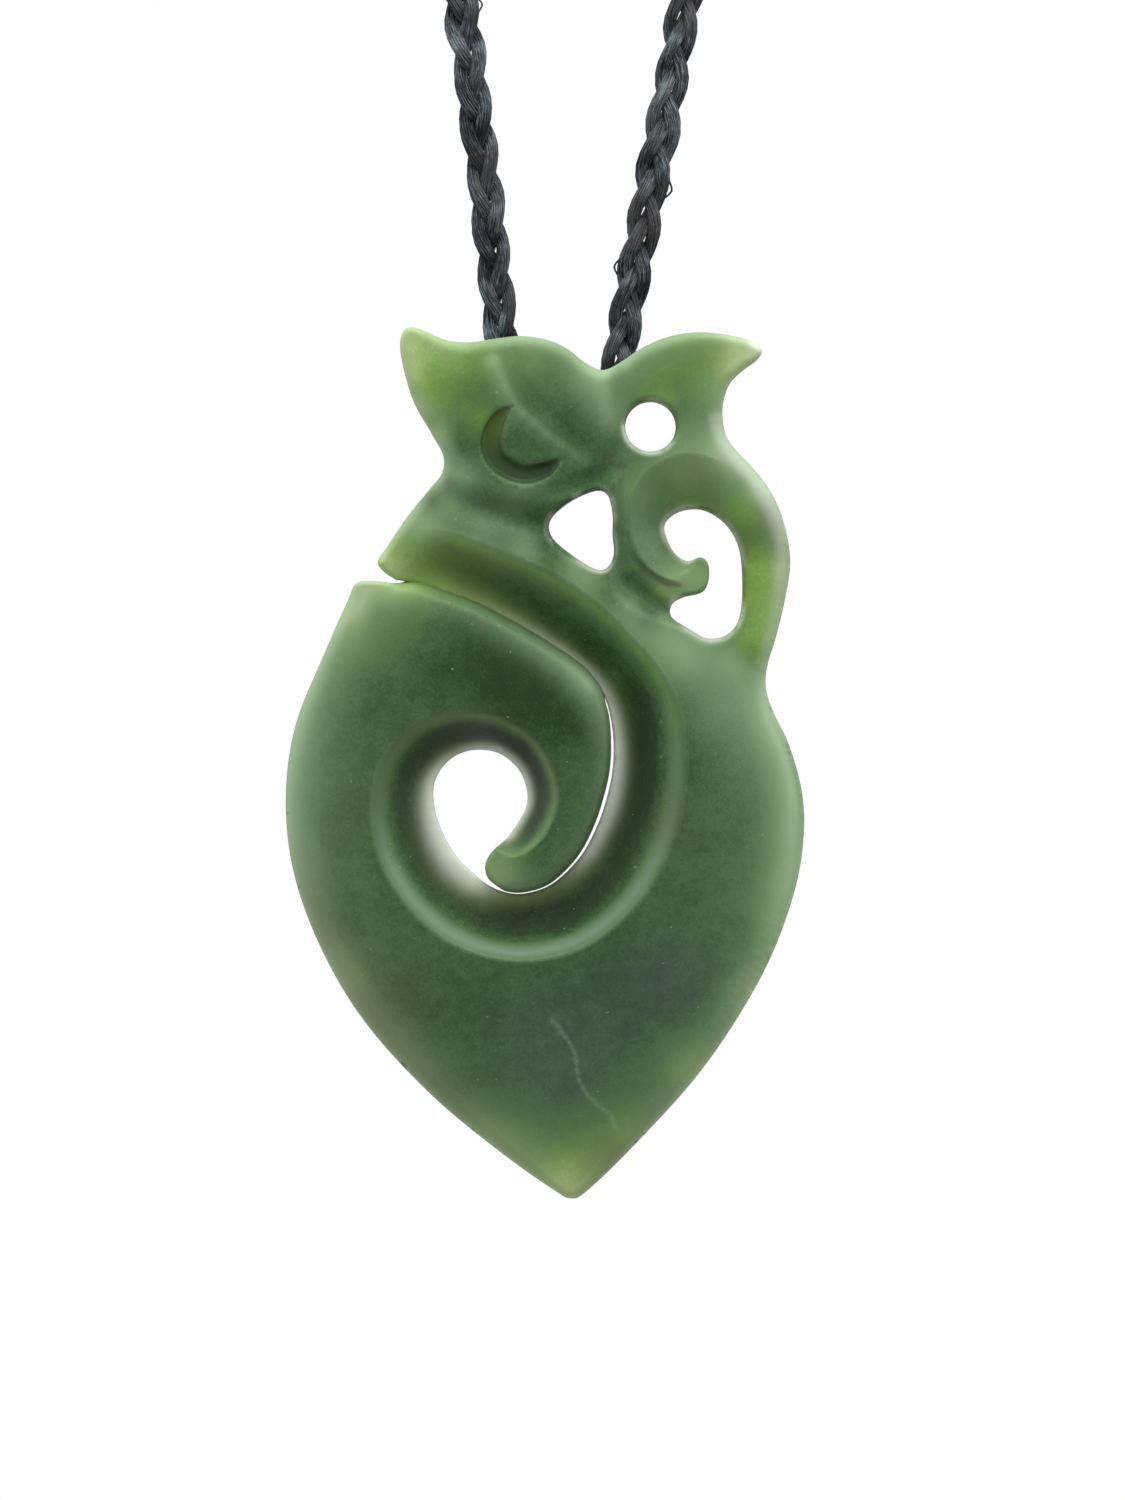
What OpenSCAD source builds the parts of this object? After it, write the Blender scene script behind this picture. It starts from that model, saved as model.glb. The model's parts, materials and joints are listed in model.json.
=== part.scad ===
// Manaia pendant: a figure carved from one piece of greenstone, on a plaited neck cord.
// The figure has a beaked head, a hooked arm and a leaf-shaped body with a spiral cove.
// Millimetres, +Z up, the front towards -Y. The origin is the nape, where the cord is worn.
// The cord's two ends meet there in a plain binding, and the stone swings at its foot.

/* [Stone] */
// Length of the stone, from the crest to the point of the leaf
stone_length = 70; // [60:1:80]
// Height of the front above the middle plane, at the crown of the leaf
crown_front = 3.4; // [2.6:0.1:4.2]
// The same height along the outer edge
rim_front = 1.5; // [1.2:0.1:2]
// Height of the back below the middle plane, at the crown of the leaf
crown_back = 2.2; // [1.6:0.1:3]
// The same height along the outer edge
rim_back = 0.9; // [0.6:0.1:1.4]
// Height of the spiral cove's lip above the middle plane
cove_lip = 0.1; // [0:0.1:1]
// Height of the hook's lip above the middle plane
hook_lip = 0.7; // [0.3:0.1:1.2]
// Width of the slot between the tongue and the cove
slot_w = 0.25; // [0.2:0.05:0.5]

/* [Lug] */
// Bore that the cord runs through
bore_d = 3.7; // [3.5:0.1:4]
// Width of the lug on the back of the head
lug_w = 3; // [2:0.2:3.4]
// Wall of the lug round the bore
lug_wall = 1.1; // [0.9:0.1:1.6]
// Distance from the stone's middle plane back to the bore's axis
bore_back = 3.5; // [3.4:0.1:4]
// Tilt at which the stone hangs at rest, its point back
rest_tilt = 8; // [5:0.1:9]

/* [Cord] */
// Diameter of one strand of the plait
strand_d = 0.76; // [0.6:0.02:0.76]
// Sideways swing of a strand from the middle of the plait
plait_swing = 1; // [0.95:0.01:1.05]
// Swing of a strand to the front and back
plait_depth = 0.9; // [0.85:0.01:0.95]
// Length of cord in which a strand comes back to its place
plait_pitch = 12; // [11:0.5:14]

/* [Binding] */
// Outer diameter of the binding at the nape
binding_d = 4.6; // [4.2:0.1:6]
// Length of the binding
binding_length = 12; // [9:0.5:12]
// Depth of the socket for the cord in each end
socket_depth = 2.5; // [1:0.5:3]

/* [Hidden] */

// Where the bore hangs, seen from the nape
bore_at = [0, -125, -150];
lug_r = bore_d / 2 + lug_wall;
cord_r = plait_swing + strand_d / 2;
socket_r = cord_r + 0.15;
// The domed faces are nets of square cells, on a box from one corner to the other
net_box = [[-23.61, -62.93], [20.5, 9.5]];
front_cell = 2.13;
back_cell = 4.73;
// How far a cutter reaches past an edge, and how far it stands out of the stone
overcut = 0.13;
clear = 9;
stone_green = [0.30, 0.42, 0.27];
cord_black = [0.13, 0.14, 0.15];

// The stone is drawn about the bore: x to the right of it and z above it, as seen from the front.
// Outline tables. Columns: x, z, width of the rounding of the edge there.
silhouette = [
    // crest and top of the head
    [-12.5, 7.9, 0.6], [-11.8, 8.2, 0.6], [-10.6, 7.8, 0.8], [-9.2, 7.2, 1.0], [-7.4, 7.0, 1.2],
    [-5.2, 7.3, 1.2], [-3.2, 7.5, 1.2], [-1.2, 7.2, 1.2], [0.4, 6.5, 1.2], [1.8, 5.4, 1.2], [3.2, 4.8, 1.2],
    // fin to the right of the notch
    [4.6, 5.4, 1.2], [6.4, 6.6, 1.2], [8.6, 7.5, 1.2], [10.8, 7.8, 1.0], [13.0, 7.6, 0.8],
    [14.9, 7.1, 0.6], [15.8, 6.4, 0.5], [15.4, 5.6, 0.6], [14.2, 4.7, 0.8], [13.2, 3.6, 1.0],
    [12.7, 1.8, 1.2], [12.9, -0.2, 1.2], [13.7, -1.5, 1.2],
    // arm
    [15.2, -3.1, 1.2], [16.6, -5.0, 1.2], [17.6, -7.4, 1.2], [18.1, -10.4, 1.2], [17.7, -13.4, 1.2],
    [17.0, -16.4, 1.2], [16.3, -18.8, 1.2], [16.2, -20.6, 1.2],
    // right side of the leaf
    [17.0, -22.5, 1.3], [18.3, -25.0, 1.4], [19.3, -28.5, 1.5], [19.4, -32.0, 1.5], [18.6, -36.5, 1.5],
    [16.7, -42.0, 1.5], [13.9, -47.2, 1.5], [10.4, -52.2, 1.5], [5.6, -57.5, 1.2], [2.0, -61.0, 0.8],
    // point and left side of the leaf
    [0.7, -61.6, 0.6], [-0.7, -60.9, 0.8], [-4.9, -57.9, 1.2], [-10.3, -53.3, 1.5], [-15.4, -47.4, 1.5],
    [-18.9, -41.4, 1.5], [-21.3, -35.3, 1.5], [-22.2, -29.3, 1.5], [-21.4, -23.5, 1.5],
    [-19.1, -17.8, 1.3], [-17.0, -13.6, 0.9], [-16.3, -12.2, 0.4],
    // mouth of the slot and tip of the band
    [-15.0, -12.0, 0.3], [-13.5, -12.15, 0.1], [-13.4, -11.75, 0.1], [-14.2, -11.2, 0.3],
    [-14.6, -10.4, 0.5],
    // left side of the head
    [-13.8, -9.2, 0.8], [-12.2, -6.8, 1.0], [-10.4, -4.6, 1.0], [-9.5, -3.4, 0.9], [-9.4, -2.0, 0.9],
    [-10.4, -0.1, 1.0], [-11.7, 2.2, 1.0], [-12.5, 4.8, 0.9], [-12.8, 6.8, 0.7]
];
triangle_hole = [
    [2.6, -4.8, 0.5], [3.6, -5.1, 0.5], [4.0, -6.6, 0.7], [4.0, -8.2, 0.7], [4.1, -9.9, 0.5],
    [3.5, -11.0, 0.4], [2.5, -11.0, 0.5], [0.6, -9.8, 0.7], [-0.8, -8.5, 0.6], [-0.9, -7.1, 0.5],
    [0.6, -5.7, 0.7]
];
hook_hole = [
    [8.1, -7.8, 0.4], [8.7, -6.8, 0.4], [9.9, -6.3, 0.4], [11.4, -6.4, 0.5], [13.0, -7.5, 0.6],
    [14.0, -9.3, 0.7], [14.3, -12.0, 0.7], [14.1, -14.8, 0.6], [13.2, -16.2, 0.5], [11.6, -16.6, 0.6],
    [10.2, -15.9, 0.6], [8.7, -14.9, 0.4], [8.7, -13.9, 0.4], [9.6, -13.3, 0.5], [11.1, -12.9, 0.4],
    [11.6, -12.0, 0.3], [11.6, -10.7, 0.3], [11.0, -10.1, 0.3], [9.9, -10.4, 0.3], [8.8, -9.6, 0.4]
];
fin_hole = [7.0, 0.3];
fin_hole_r = 2;

// Crown of the dome. Columns: z, x of the middle, half the width there, height as a share of the crown.
crown = [
    [-63, 0.6, 3.5, 0.35], [-58, 0.3, 6.4, 0.62], [-52, -0.4, 11.8, 0.85], [-45, -1.1, 16.5, 0.97],
    [-37, -1.3, 20.0, 1], [-29, -1.4, 20.9, 1], [-22, -2.0, 19.8, 0.95], [-14, 0, 18.5, 0.8],
    [-7, 2, 16.5, 0.7], [0, 1.6, 15, 0.6], [10, 1.4, 16, 0.35]
];

// Cove tables, a row for each cross-section. Columns: ridge x, ridge z, lip x, lip z.
spiral_cove = [
    [-13.4, -7.8, -15.0, -11.5], [-10.6, -7.8, -13.2, -11.9], [-8.2, -8.2, -11.6, -12.2],
    [-6.0, -9.0, -9.3, -13.0], [-3.8, -9.9, -7.1, -13.8], [-1.6, -10.8, -4.9, -14.9],
    [0.5, -11.9, -2.6, -16.2], [2.7, -13.5, -0.5, -17.5], [4.7, -15.4, 1.1, -18.6],
    [6.5, -17.3, 2.3, -19.7], [8.0, -19.2, 3.2, -20.9], [9.2, -21.6, 3.8, -22.6],
    [9.8, -24.8, 4.1, -24.9], [9.8, -28.0, 4.0, -27.3], [9.3, -31.2, 3.5, -29.6],
    [8.3, -34.0, 2.8, -31.6], [6.7, -36.9, 1.8, -33.6], [4.5, -39.4, 0.6, -35.1],
    [1.8, -41.3, -0.8, -36.3], [-1.0, -42.2, -2.2, -36.9], [-4.0, -42.4, -3.8, -37.1],
    [-7.2, -41.7, -5.5, -36.6], [-9.9, -40.3, -6.9, -35.6], [-12.3, -38.0, -8.3, -34.2],
    [-14.3, -34.8, -9.4, -32.4], [-15.1, -31.3, -10.1, -30.4], [-15.0, -28.2, -10.2, -28.4],
    [-13.9, -25.6, -9.5, -26.9], [-11.7, -23.4, -8.3, -25.9], [-8.8, -22.4, -6.7, -25.5],
    [-5.4, -22.7, -5.0, -25.8], [-2.5, -24.3, -3.6, -26.9], [-0.8, -26.8, -2.9, -28.3],
    [-0.3, -29.5, -2.8, -29.9], [-1.1, -32.0, -3.6, -31.5], [-2.6, -33.6, -4.5, -32.7],
    [-4.2, -34.2, -5.3, -33.4]
];
hook_cove = [
    [9.6, -12.6, 10.8, -10.2], [7.5, -11.8, 10.0, -10.4], [5.9, -10.4, 9.2, -10.0], [5.1, -8.5, 8.6, -9.3],
    [5.1, -6.4, 8.1, -8.1], [5.8, -4.3, 8.4, -7.2], [7.3, -2.7, 9.0, -6.6], [9.4, -1.8, 10.1, -6.3],
    [11.6, -2.0, 11.5, -6.4], [13.6, -3.0, 13.0, -7.4], [15.2, -4.8, 14.3, -8.9]
];
// Row of the spiral cove at which the slot opens into the big hole, and the hook's tip beside it
slot_rows = 21;
hook_tip = [[-5.8, -34.0], [-6.1, -34.9], [-5.8, -35.9]];

// Groove tables. Columns: x, z, width, depth.
eye_groove = [
    [-4.2, 1.8, 0.8, 0.2], [-5.1, 0.4, 1.6, 0.5], [-5.5, -1.2, 1.9, 0.6], [-4.6, -2.8, 1.9, 0.6],
    [-3.1, -3.5, 1.8, 0.6], [-1.6, -3.2, 1.5, 0.5], [-0.8, -2.2, 0.9, 0.2]
];
neck_valley = [
    [-9.6, -4.2, 1.2, 0.2], [-8.2, -5.6, 1.9, 0.7], [-5.6, -6.4, 2.2, 0.8], [-3.2, -7.1, 2.2, 0.8],
    [-0.6, -7.7, 1.6, 0.7]
];
head_crease = [
    [-5.2, 7.2, 0.8, 0.2], [-4.9, 5.0, 1.2, 0.4], [-4.3, 3.2, 1.2, 0.4], [-3.3, 1.2, 1.2, 0.4],
    [-1.4, -0.4, 1.2, 0.4], [0.8, -2.2, 0.8, 0.2]
];

// The cord's route from the nape's right side to its left, through the bore. Columns: x, y, z.
cord_route = [
    [4, 0, 0], [10, -0.4, 0], [20, -2, -0.5], [38, -11, -3], [52, -28, -8], [58, -50, -17],
    [55, -73, -27], [44, -94, -40], [31, -108, -55], [21, -117, -74], [14.4, -122, -95],
    [10, -124.2, -115.6], [7.2, -124.9, -130.5], [5, -125, -142], [4.3, -125, -146.2],
    [2.7, -125, -149], [0, -125, -150], [-2.7, -125, -149], [-4.3, -125, -146.2],
    [-4.9, -125, -142], [-6.2, -124.9, -130.5], [-8.2, -124.2, -115.6], [-12, -122, -95],
    [-19, -117, -74], [-30, -108, -55], [-44, -94, -40], [-55, -73, -27], [-58, -50, -17],
    [-52, -28, -8], [-38, -11, -3], [-20, -2, -0.5], [-10, -0.4, 0], [-4, 0, 0]
];
// The neck's axis, which the flat of the plait faces away from
neck_axis = [0, -60];
plait_sides = 5;
rings_per_pitch = 6;

// Point at share t of the way from b to c along the smooth run a, b, c, d
function bend(a, b, c, d, t) =
    (2 * t ^ 3 - 3 * t ^ 2 + 1) * b + (t ^ 3 - 2 * t ^ 2 + t) * (c - a) / 2
    + (3 * t ^ 2 - 2 * t ^ 3) * c + (t ^ 3 - t ^ 2) * (d - b) / 2;
// Smooth closed line through the rows of a table, and a smooth open one, whose points move on by a
// share of a step
function closed_line(rows, steps) =
    let (n = len(rows))
    [for (i = [0 : n - 1], k = [0 : steps - 1])
        bend(rows[(i + n - 1) % n], rows[i], rows[(i + 1) % n], rows[(i + 2) % n], k / steps)];
function open_line(rows, steps, shift = 0) =
    let (n = len(rows))
    concat([for (i = [0 : n - 2], k = [0 : steps - 1])
        bend(rows[max(i - 1, 0)], rows[i], rows[i + 1], rows[min(i + 2, n - 1)], (k + shift) / steps)],
        [rows[n - 1]]);
function reversed(list) = [for (i = [len(list) - 1 : -1 : 0]) list[i]];
function unit(v) = v / norm(v);

// Height of a domed face at x, z: an arc across from rim to rim, over a crown that follows the table
function column(c, z) = lookup(z, [for (r = crown) [r[0], r[c]]]);
function dome(x, z, rim, top) =
    rim + (top - rim) * column(3, z) * max(0, 1 - ((x - column(1, z)) / column(2, z)) ^ 2);
function front(x, z) = dome(x, z, rim_front, crown_front);
function back(x, z) = dome(x, z, rim_back, crown_back);

// Solid between the middle plane and a net of heights in front of it
module relief(cell, heights) {
    nx = ceil((net_box[1][0] - net_box[0][0]) / cell);
    nz = ceil((net_box[1][1] - net_box[0][1]) / cell);
    base = [for (k = [0 : nz], i = [0 : nx]) net_box[0] + [i, k] * cell];
    top = [for (p = base) [p[0], -heights(p[0], p[1]), p[1]]];
    floor = [for (p = base) [p[0], 0.1, p[1]]];
    function n(i, k) = k * (nx + 1) + i;
    m = len(base);
    up = [for (k = [0 : nz - 1], i = [0 : nx - 1]) each
        [[n(i, k), n(i + 1, k + 1), n(i + 1, k)], [n(i, k), n(i, k + 1), n(i + 1, k + 1)]]];
    down = [for (f = up) [f[0] + m, f[2] + m, f[1] + m]];
    border = concat([for (i = [0 : nx - 1]) n(i, 0)], [for (k = [0 : nz - 1]) n(nx, k)],
        [for (i = [nx : -1 : 1]) n(i, nz)], [for (k = [nz : -1 : 1]) n(0, k)]);
    sides = [for (i = [0 : len(border) - 1])
        let (a = border[i], b = border[(i + 1) % len(border)]) each [[a, b, b + m], [a, b + m, a + m]]];
    polyhedron(concat(top, floor), concat(up, down, sides), convexity = 6);
}

// Closed skin over a row of rings of points
module skin(rings) {
    sides = len(rings[0]);
    last = len(rings) - 1;
    walls = [for (i = [0 : last - 1], k = [0 : sides - 1])
        let (a = i * sides + k, b = i * sides + (k + 1) % sides)
        each [[a, b, b + sides], [a, b + sides, a + sides]]];
    caps = [[for (k = [sides - 1 : -1 : 0]) k], [for (k = [0 : sides - 1]) last * sides + k]];
    polyhedron([for (r = rings) each r], concat(walls, caps), convexity = 10);
}

// The rounding of an edge, from the back to the front. Columns: how far it steps in, as a share of
// the rounding's width, then the height as a share of the rim, then as a share of that width.
edge_steps = [
    [1.2, -9, 0], [1.2, -1, -0.4], [0, -1, 0.5], [0, 1, -0.8], [0.2, 1, -0.3], [1.2, 1, 0.5], [1.2, 9, 0]
];

// Solid within a closed line with its edges rounded, or with inward = -1 the cutter of such a hole
module rounded(table, steps, inward = 1) {
    rows = closed_line(table, steps);
    n = len(rows);
    skin([for (s = edge_steps)
        [for (i = [0 : n - 1])
            let (p = rows[i], q = rows[(i + 1) % n], o = rows[(i + n - 1) % n],
                normal = unit([o[1] - q[1], q[0] - o[0]]),
                rim = s[1] < 0 ? rim_back : rim_front,
                at = [p[0], p[1]] - inward * s[0] * p[2] * normal)
            [at[0], -(s[1] * rim + s[2] * p[2]), at[1]]]]);
}

// Cutter of a cove: it falls steeply from the ridge and runs out flat to the lip and a little past it
module cove(table, lip, steepness) {
    shares = [0, 0.12, 0.28, 0.5, 0.75, 1];
    skin([for (r = open_line(table, 2, 0.5))
        let (ridge = [r[0], r[1]], reach = [r[2], r[3]] - ridge, past = 1 + overcut / norm(reach),
            top = front(r[0], r[1]) - overcut)
        concat([for (s = shares) let (p = ridge + s * past * reach)
            [p[0], -lip - (top - lip) * (1 - s) ^ steepness, p[1]]],
            [for (s = [1, 0]) let (p = ridge + s * past * reach) [p[0], -clear, p[1]]])]);
}

// Cutter of a groove in the front, deepest along its middle
module groove(table) {
    rows = open_line(table, 2);
    last = len(rows) - 1;
    skin([for (i = [0 : last])
        let (r = rows[i], d = unit(rows[min(i + 1, last)] - rows[max(i - 1, 0)]),
            side = r[2] / 2 * unit([d[1], -d[0]]))
        concat([for (s = [-1, -0.5, 0, 0.5, 1]) let (x = r[0] + s * side[0], z = r[1] + s * side[1])
            [x, -front(x, z) + r[3] * (1 - s * s) - overcut * s * s, z]],
            [for (s = [1, -1]) [r[0] + s * side[0], -clear, r[1] + s * side[1]]])]);
}

module through() {
    rotate([90, 0, 0]) linear_extrude(2 * clear, center = true, convexity = 8) children();
}

// Slot between the tongue and the cove, and the big hole that it opens into
module spiral_cut() {
    lip = [for (r = open_line(spiral_cove, 2)) [r[2], r[3]]];
    far = [for (i = [1 : 2 * slot_rows + 1]) lip[i]];
    near = [for (i = [1 : 2 * slot_rows + 1])
        let (d = unit(lip[i + 1] - lip[i - 1])) lip[i] + slot_w * [d[1], -d[0]]];
    hole = concat([for (i = [2 * slot_rows : len(lip) - 2]) lip[i]], hook_tip);
    through() union() {
        polygon(concat(far, reversed(near)));
        polygon(hole);
    }
}

module carved_stone() {
    difference() {
        intersection() {
            union() {
                relief(front_cell, function (x, z) front(x, z));
                mirror([0, 1, 0]) relief(back_cell, function (x, z) back(x, z));
            }
            rounded(silhouette, 2);
        }
        spiral_cut();
        rounded(triangle_hole, 2, -1);
        rounded(hook_hole, 2, -1);
        translate([fin_hole[0], 0, fin_hole[1]]) rounded([for (a = [0 : 30 : 330])
            fin_hole_r * [-cos(a), sin(a), 0] + [0, 0, 0.6]], 2, -1);
        cove(spiral_cove, cove_lip, 1.9);
        cove(hook_cove, hook_lip, 1.5);
        groove(eye_groove);
        groove(neck_valley);
        groove(head_crease);
    }
}

// Lug carved on the back of the head, round about the bore
module lug() {
    rotate([0, 90, 0]) cylinder(r = lug_r, h = lug_w, center = true, $fn = 28);
    translate([-lug_w / 2, -bore_back, -lug_r]) cube([lug_w, bore_back, 2 * lug_r]);
}

module greenstone() {
    color(stone_green)
    translate(bore_at) rotate([rest_tilt, 0, 0])
    difference() {
        resize([0, 0, stone_length], auto = true) union() {
            translate([0, -bore_back, 0]) carved_stone();
            lug();
        }
        rotate([0, 90, 0]) cylinder(r = bore_d / 2, h = lug_w + 8, center = true, $fn = 48);
    }
}

// Smooth route with the length of cord up to each of its points as a fourth column
route = open_line(cord_route, 8);
function run_lengths(line, i = 1, sum = 0, out = [0]) =
    i == len(line) ? out
    : let (s = sum + norm(line[i] - line[i - 1])) run_lengths(line, i + 1, s, concat(out, s));
route_s = run_lengths(route);
cord_length = route_s[len(route_s) - 1];
ring_count = round(cord_length / plait_pitch * rings_per_pitch);
route_tables = [for (c = [0 : 2]) [for (i = [0 : len(route) - 1]) [route_s[i], route[i][c]]]];
function route_at(s) = [for (c = [0 : 2]) lookup(s, route_tables[c])];

// Two directions square to a run at point p: out from the neck, and sideways along the flat
function facing(p, along) =
    let (away = [p[0] - neck_axis[0], p[1] - neck_axis[1], 0],
        out = unit(away - (away * along) * along))
    [out, cross(along, out)];

// Middle of a strand at ring i: a figure of eight across the plait, once a pitch
function strand_at(i, phase) =
    let (s = cord_length * i / ring_count,
        run = unit(route_at(min(s + 0.5, cord_length)) - route_at(max(s - 0.5, 0))),
        f = facing(route_at(s), run),
        turn = 360 * i / rings_per_pitch + phase)
    route_at(s) + plait_depth * sin(2 * turn) * f[0] + plait_swing * sin(turn) * f[1];

// One of three strands, each a third of a pitch behind the last
module braid_strand(number) {
    middles = [for (i = [0 : ring_count]) strand_at(i, 30 + 120 * number)];
    color(cord_black)
    skin([for (i = [0 : ring_count])
        let (f = facing(route_at(cord_length * i / ring_count),
                unit(middles[min(i + 1, ring_count)] - middles[max(i - 1, 0)])))
        [for (a = [0 : 360 / plait_sides : 359])
            middles[i] + strand_d / 2 * (cos(a) * f[0] + sin(a) * f[1])]]);
}

// Plain barrel at the nape, with a socket in each end for the cord
module nape_binding() {
    color(cord_black)
    rotate([0, 90, 0])
    difference() {
        cylinder(d = binding_d, h = binding_length, center = true, $fn = 32);
        for (end = [0, 180]) rotate([end, 0, 0])
            translate([0, 0, binding_length / 2 - socket_depth]) cylinder(r = socket_r, h = 5, $fn = 32);
    }
}

greenstone();
braid_strand(0);  // braid_strand_1
braid_strand(1);  // braid_strand_2
braid_strand(2);  // braid_strand_3
nape_binding();
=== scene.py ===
# A greenstone manaia pendant on a plaited black neck cord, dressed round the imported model.
# The stone and the cord are worked out in millimetres; a stone point is x to the right of the bore
# and z above it, as seen from the front, with its height in front of or behind the middle plane.
import json
import math
import bpy
import numpy as np
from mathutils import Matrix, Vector
from mathutils.geometry import delaunay_2d_cdt


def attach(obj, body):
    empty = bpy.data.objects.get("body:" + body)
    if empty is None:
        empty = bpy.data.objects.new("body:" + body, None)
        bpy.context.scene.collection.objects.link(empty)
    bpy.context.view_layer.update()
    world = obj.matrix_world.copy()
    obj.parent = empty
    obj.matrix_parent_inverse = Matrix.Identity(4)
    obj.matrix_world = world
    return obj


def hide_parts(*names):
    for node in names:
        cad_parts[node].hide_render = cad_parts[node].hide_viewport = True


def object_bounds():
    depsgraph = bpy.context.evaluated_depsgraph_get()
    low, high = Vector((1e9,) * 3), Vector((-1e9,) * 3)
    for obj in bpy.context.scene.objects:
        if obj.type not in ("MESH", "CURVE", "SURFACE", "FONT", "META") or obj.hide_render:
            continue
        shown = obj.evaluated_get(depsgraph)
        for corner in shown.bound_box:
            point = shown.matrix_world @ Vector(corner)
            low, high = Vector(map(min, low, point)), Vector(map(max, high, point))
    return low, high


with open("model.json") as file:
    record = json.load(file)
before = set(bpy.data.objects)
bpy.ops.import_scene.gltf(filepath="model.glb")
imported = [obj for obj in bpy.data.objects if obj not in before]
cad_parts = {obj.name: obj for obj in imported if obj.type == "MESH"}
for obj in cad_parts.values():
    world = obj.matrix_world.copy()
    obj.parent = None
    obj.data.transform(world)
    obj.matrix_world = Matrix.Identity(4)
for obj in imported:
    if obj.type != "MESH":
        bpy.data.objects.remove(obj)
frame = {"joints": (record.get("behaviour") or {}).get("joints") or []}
cadLow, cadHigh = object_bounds()
boreAt = np.array(frame["joints"][0]["pos_m"]) * 1000
print("frame loaded, bore at", boreAt)

stone = {
    "length": 70,
    "restTilt": 8,        # degrees by which its foot hangs back
    "boreBack": 3.5,      # from the middle plane back to the bore
    "rimFront": 1.5,      # heights of the two faces, at the dome's rim and its crown
    "crownFront": 3.4,
    "rimBack": 0.9,
    "crownBack": 2.2,
    "thinnest": 0.7,      # front and back together, where coves and grooves meet
    "frontRound": 0.85,   # share of a row's rounding that the front edge has
    "backRound": 0.5,
    "tongueRound": 0.9,   # roundings of the slot's two sides and the tongue's tip
    "lipRound": 0.12,
    "tipRound": 0.4,
    "slotWidths": [       # row of the spiral cove: width of the cut
        (1, 0.25), (2, 0.1), (11, 0.1), (12, 0.2), (14, 0.26), (16, 0.2), (18, 0.13), (21, 0.12)],
    "slant": 0.7,         # how far the hairline's cut leans towards the back
    "slantReach": 1.3,
    "slantEnds": (8, 14),   # points of the cut over which the lean grows and fades
    "tongueFall": 0.5,    # the tongue's fall towards the slot, and how far from it that starts
    "tongueReach": 3.2,
    # row of the spiral cove: how strong the painted sheen on the tongue beside the slot is
    "tongueSheen": [(1, 0.1), (4, 0.3), (6, 0.45), (9, 0.85), (11, 0.5), (13, 0.25), (18, 0.2), (21, 0.4)],
    "sheenAt": 0.5,        # distance from the slot where that haze is strongest, and its reach
    "sheenReach": 1.4,
    # the marks along the holes' rims and a ridge are painted sheen
    "bevelReach": 0.65,   # reach of the marks along the bevel, the holes' rims, the vein and a ridge
    "holeRimReach": 0.22,
    "holeRimAt": 0.1,
    "veinReach": 0.16,
    "ridgeReach": 0.15,
    # a painted sheen along a cove's ridge
    "ridgeSheen": 0.15,    # how milky a ridge is
    "oliveDepth": 0.3,    # of the eye's groove where it is fully olive
    "bend": (0.7, 0.3),   # how the front and the back share the bend where the stone is thinnest
    "bendSoftness": 0.04,
    # rows of points: shares of an edge's rounding, of the way across a cove, and of half a groove
    "edgeRows": (0.1, 0.25, 0.48, 0.75, 1.05),
    "coveRows": (0, -0.05, 0.05, -0.15, 0.12, 0.2, 0.3, 0.42, 0.54, 0.66, 0.78, 0.89, 0.96),
    "grooveRows": (-1, -0.8, -0.6, -0.45, -0.3, 0, 0.3, 0.45, 0.6, 0.8, 1),
    "edgeStep": 0.2,      # distance between points along an edge, a ridge or groove, the vein, and the grid
    "ribStep": 0.24,
    "veinStep": 0.15,
    "gridStep": 0.34,
    "gridFrom": (-23, -63),   # x and z of the grid's corners
    "gridTo": (20, 9),
    "gridClear": 0.12,    # how far the grid and a row keep from an edge
    "rowClear": 0.08,
    "cell": 0.09,         # each square of this size holds one point at most
    "cells": 4000,        # squares along each side of the table of them
}
# points from one row of a table to the next
edgeSteps, grooveSteps, coveSteps = 6, 8, 16

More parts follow.
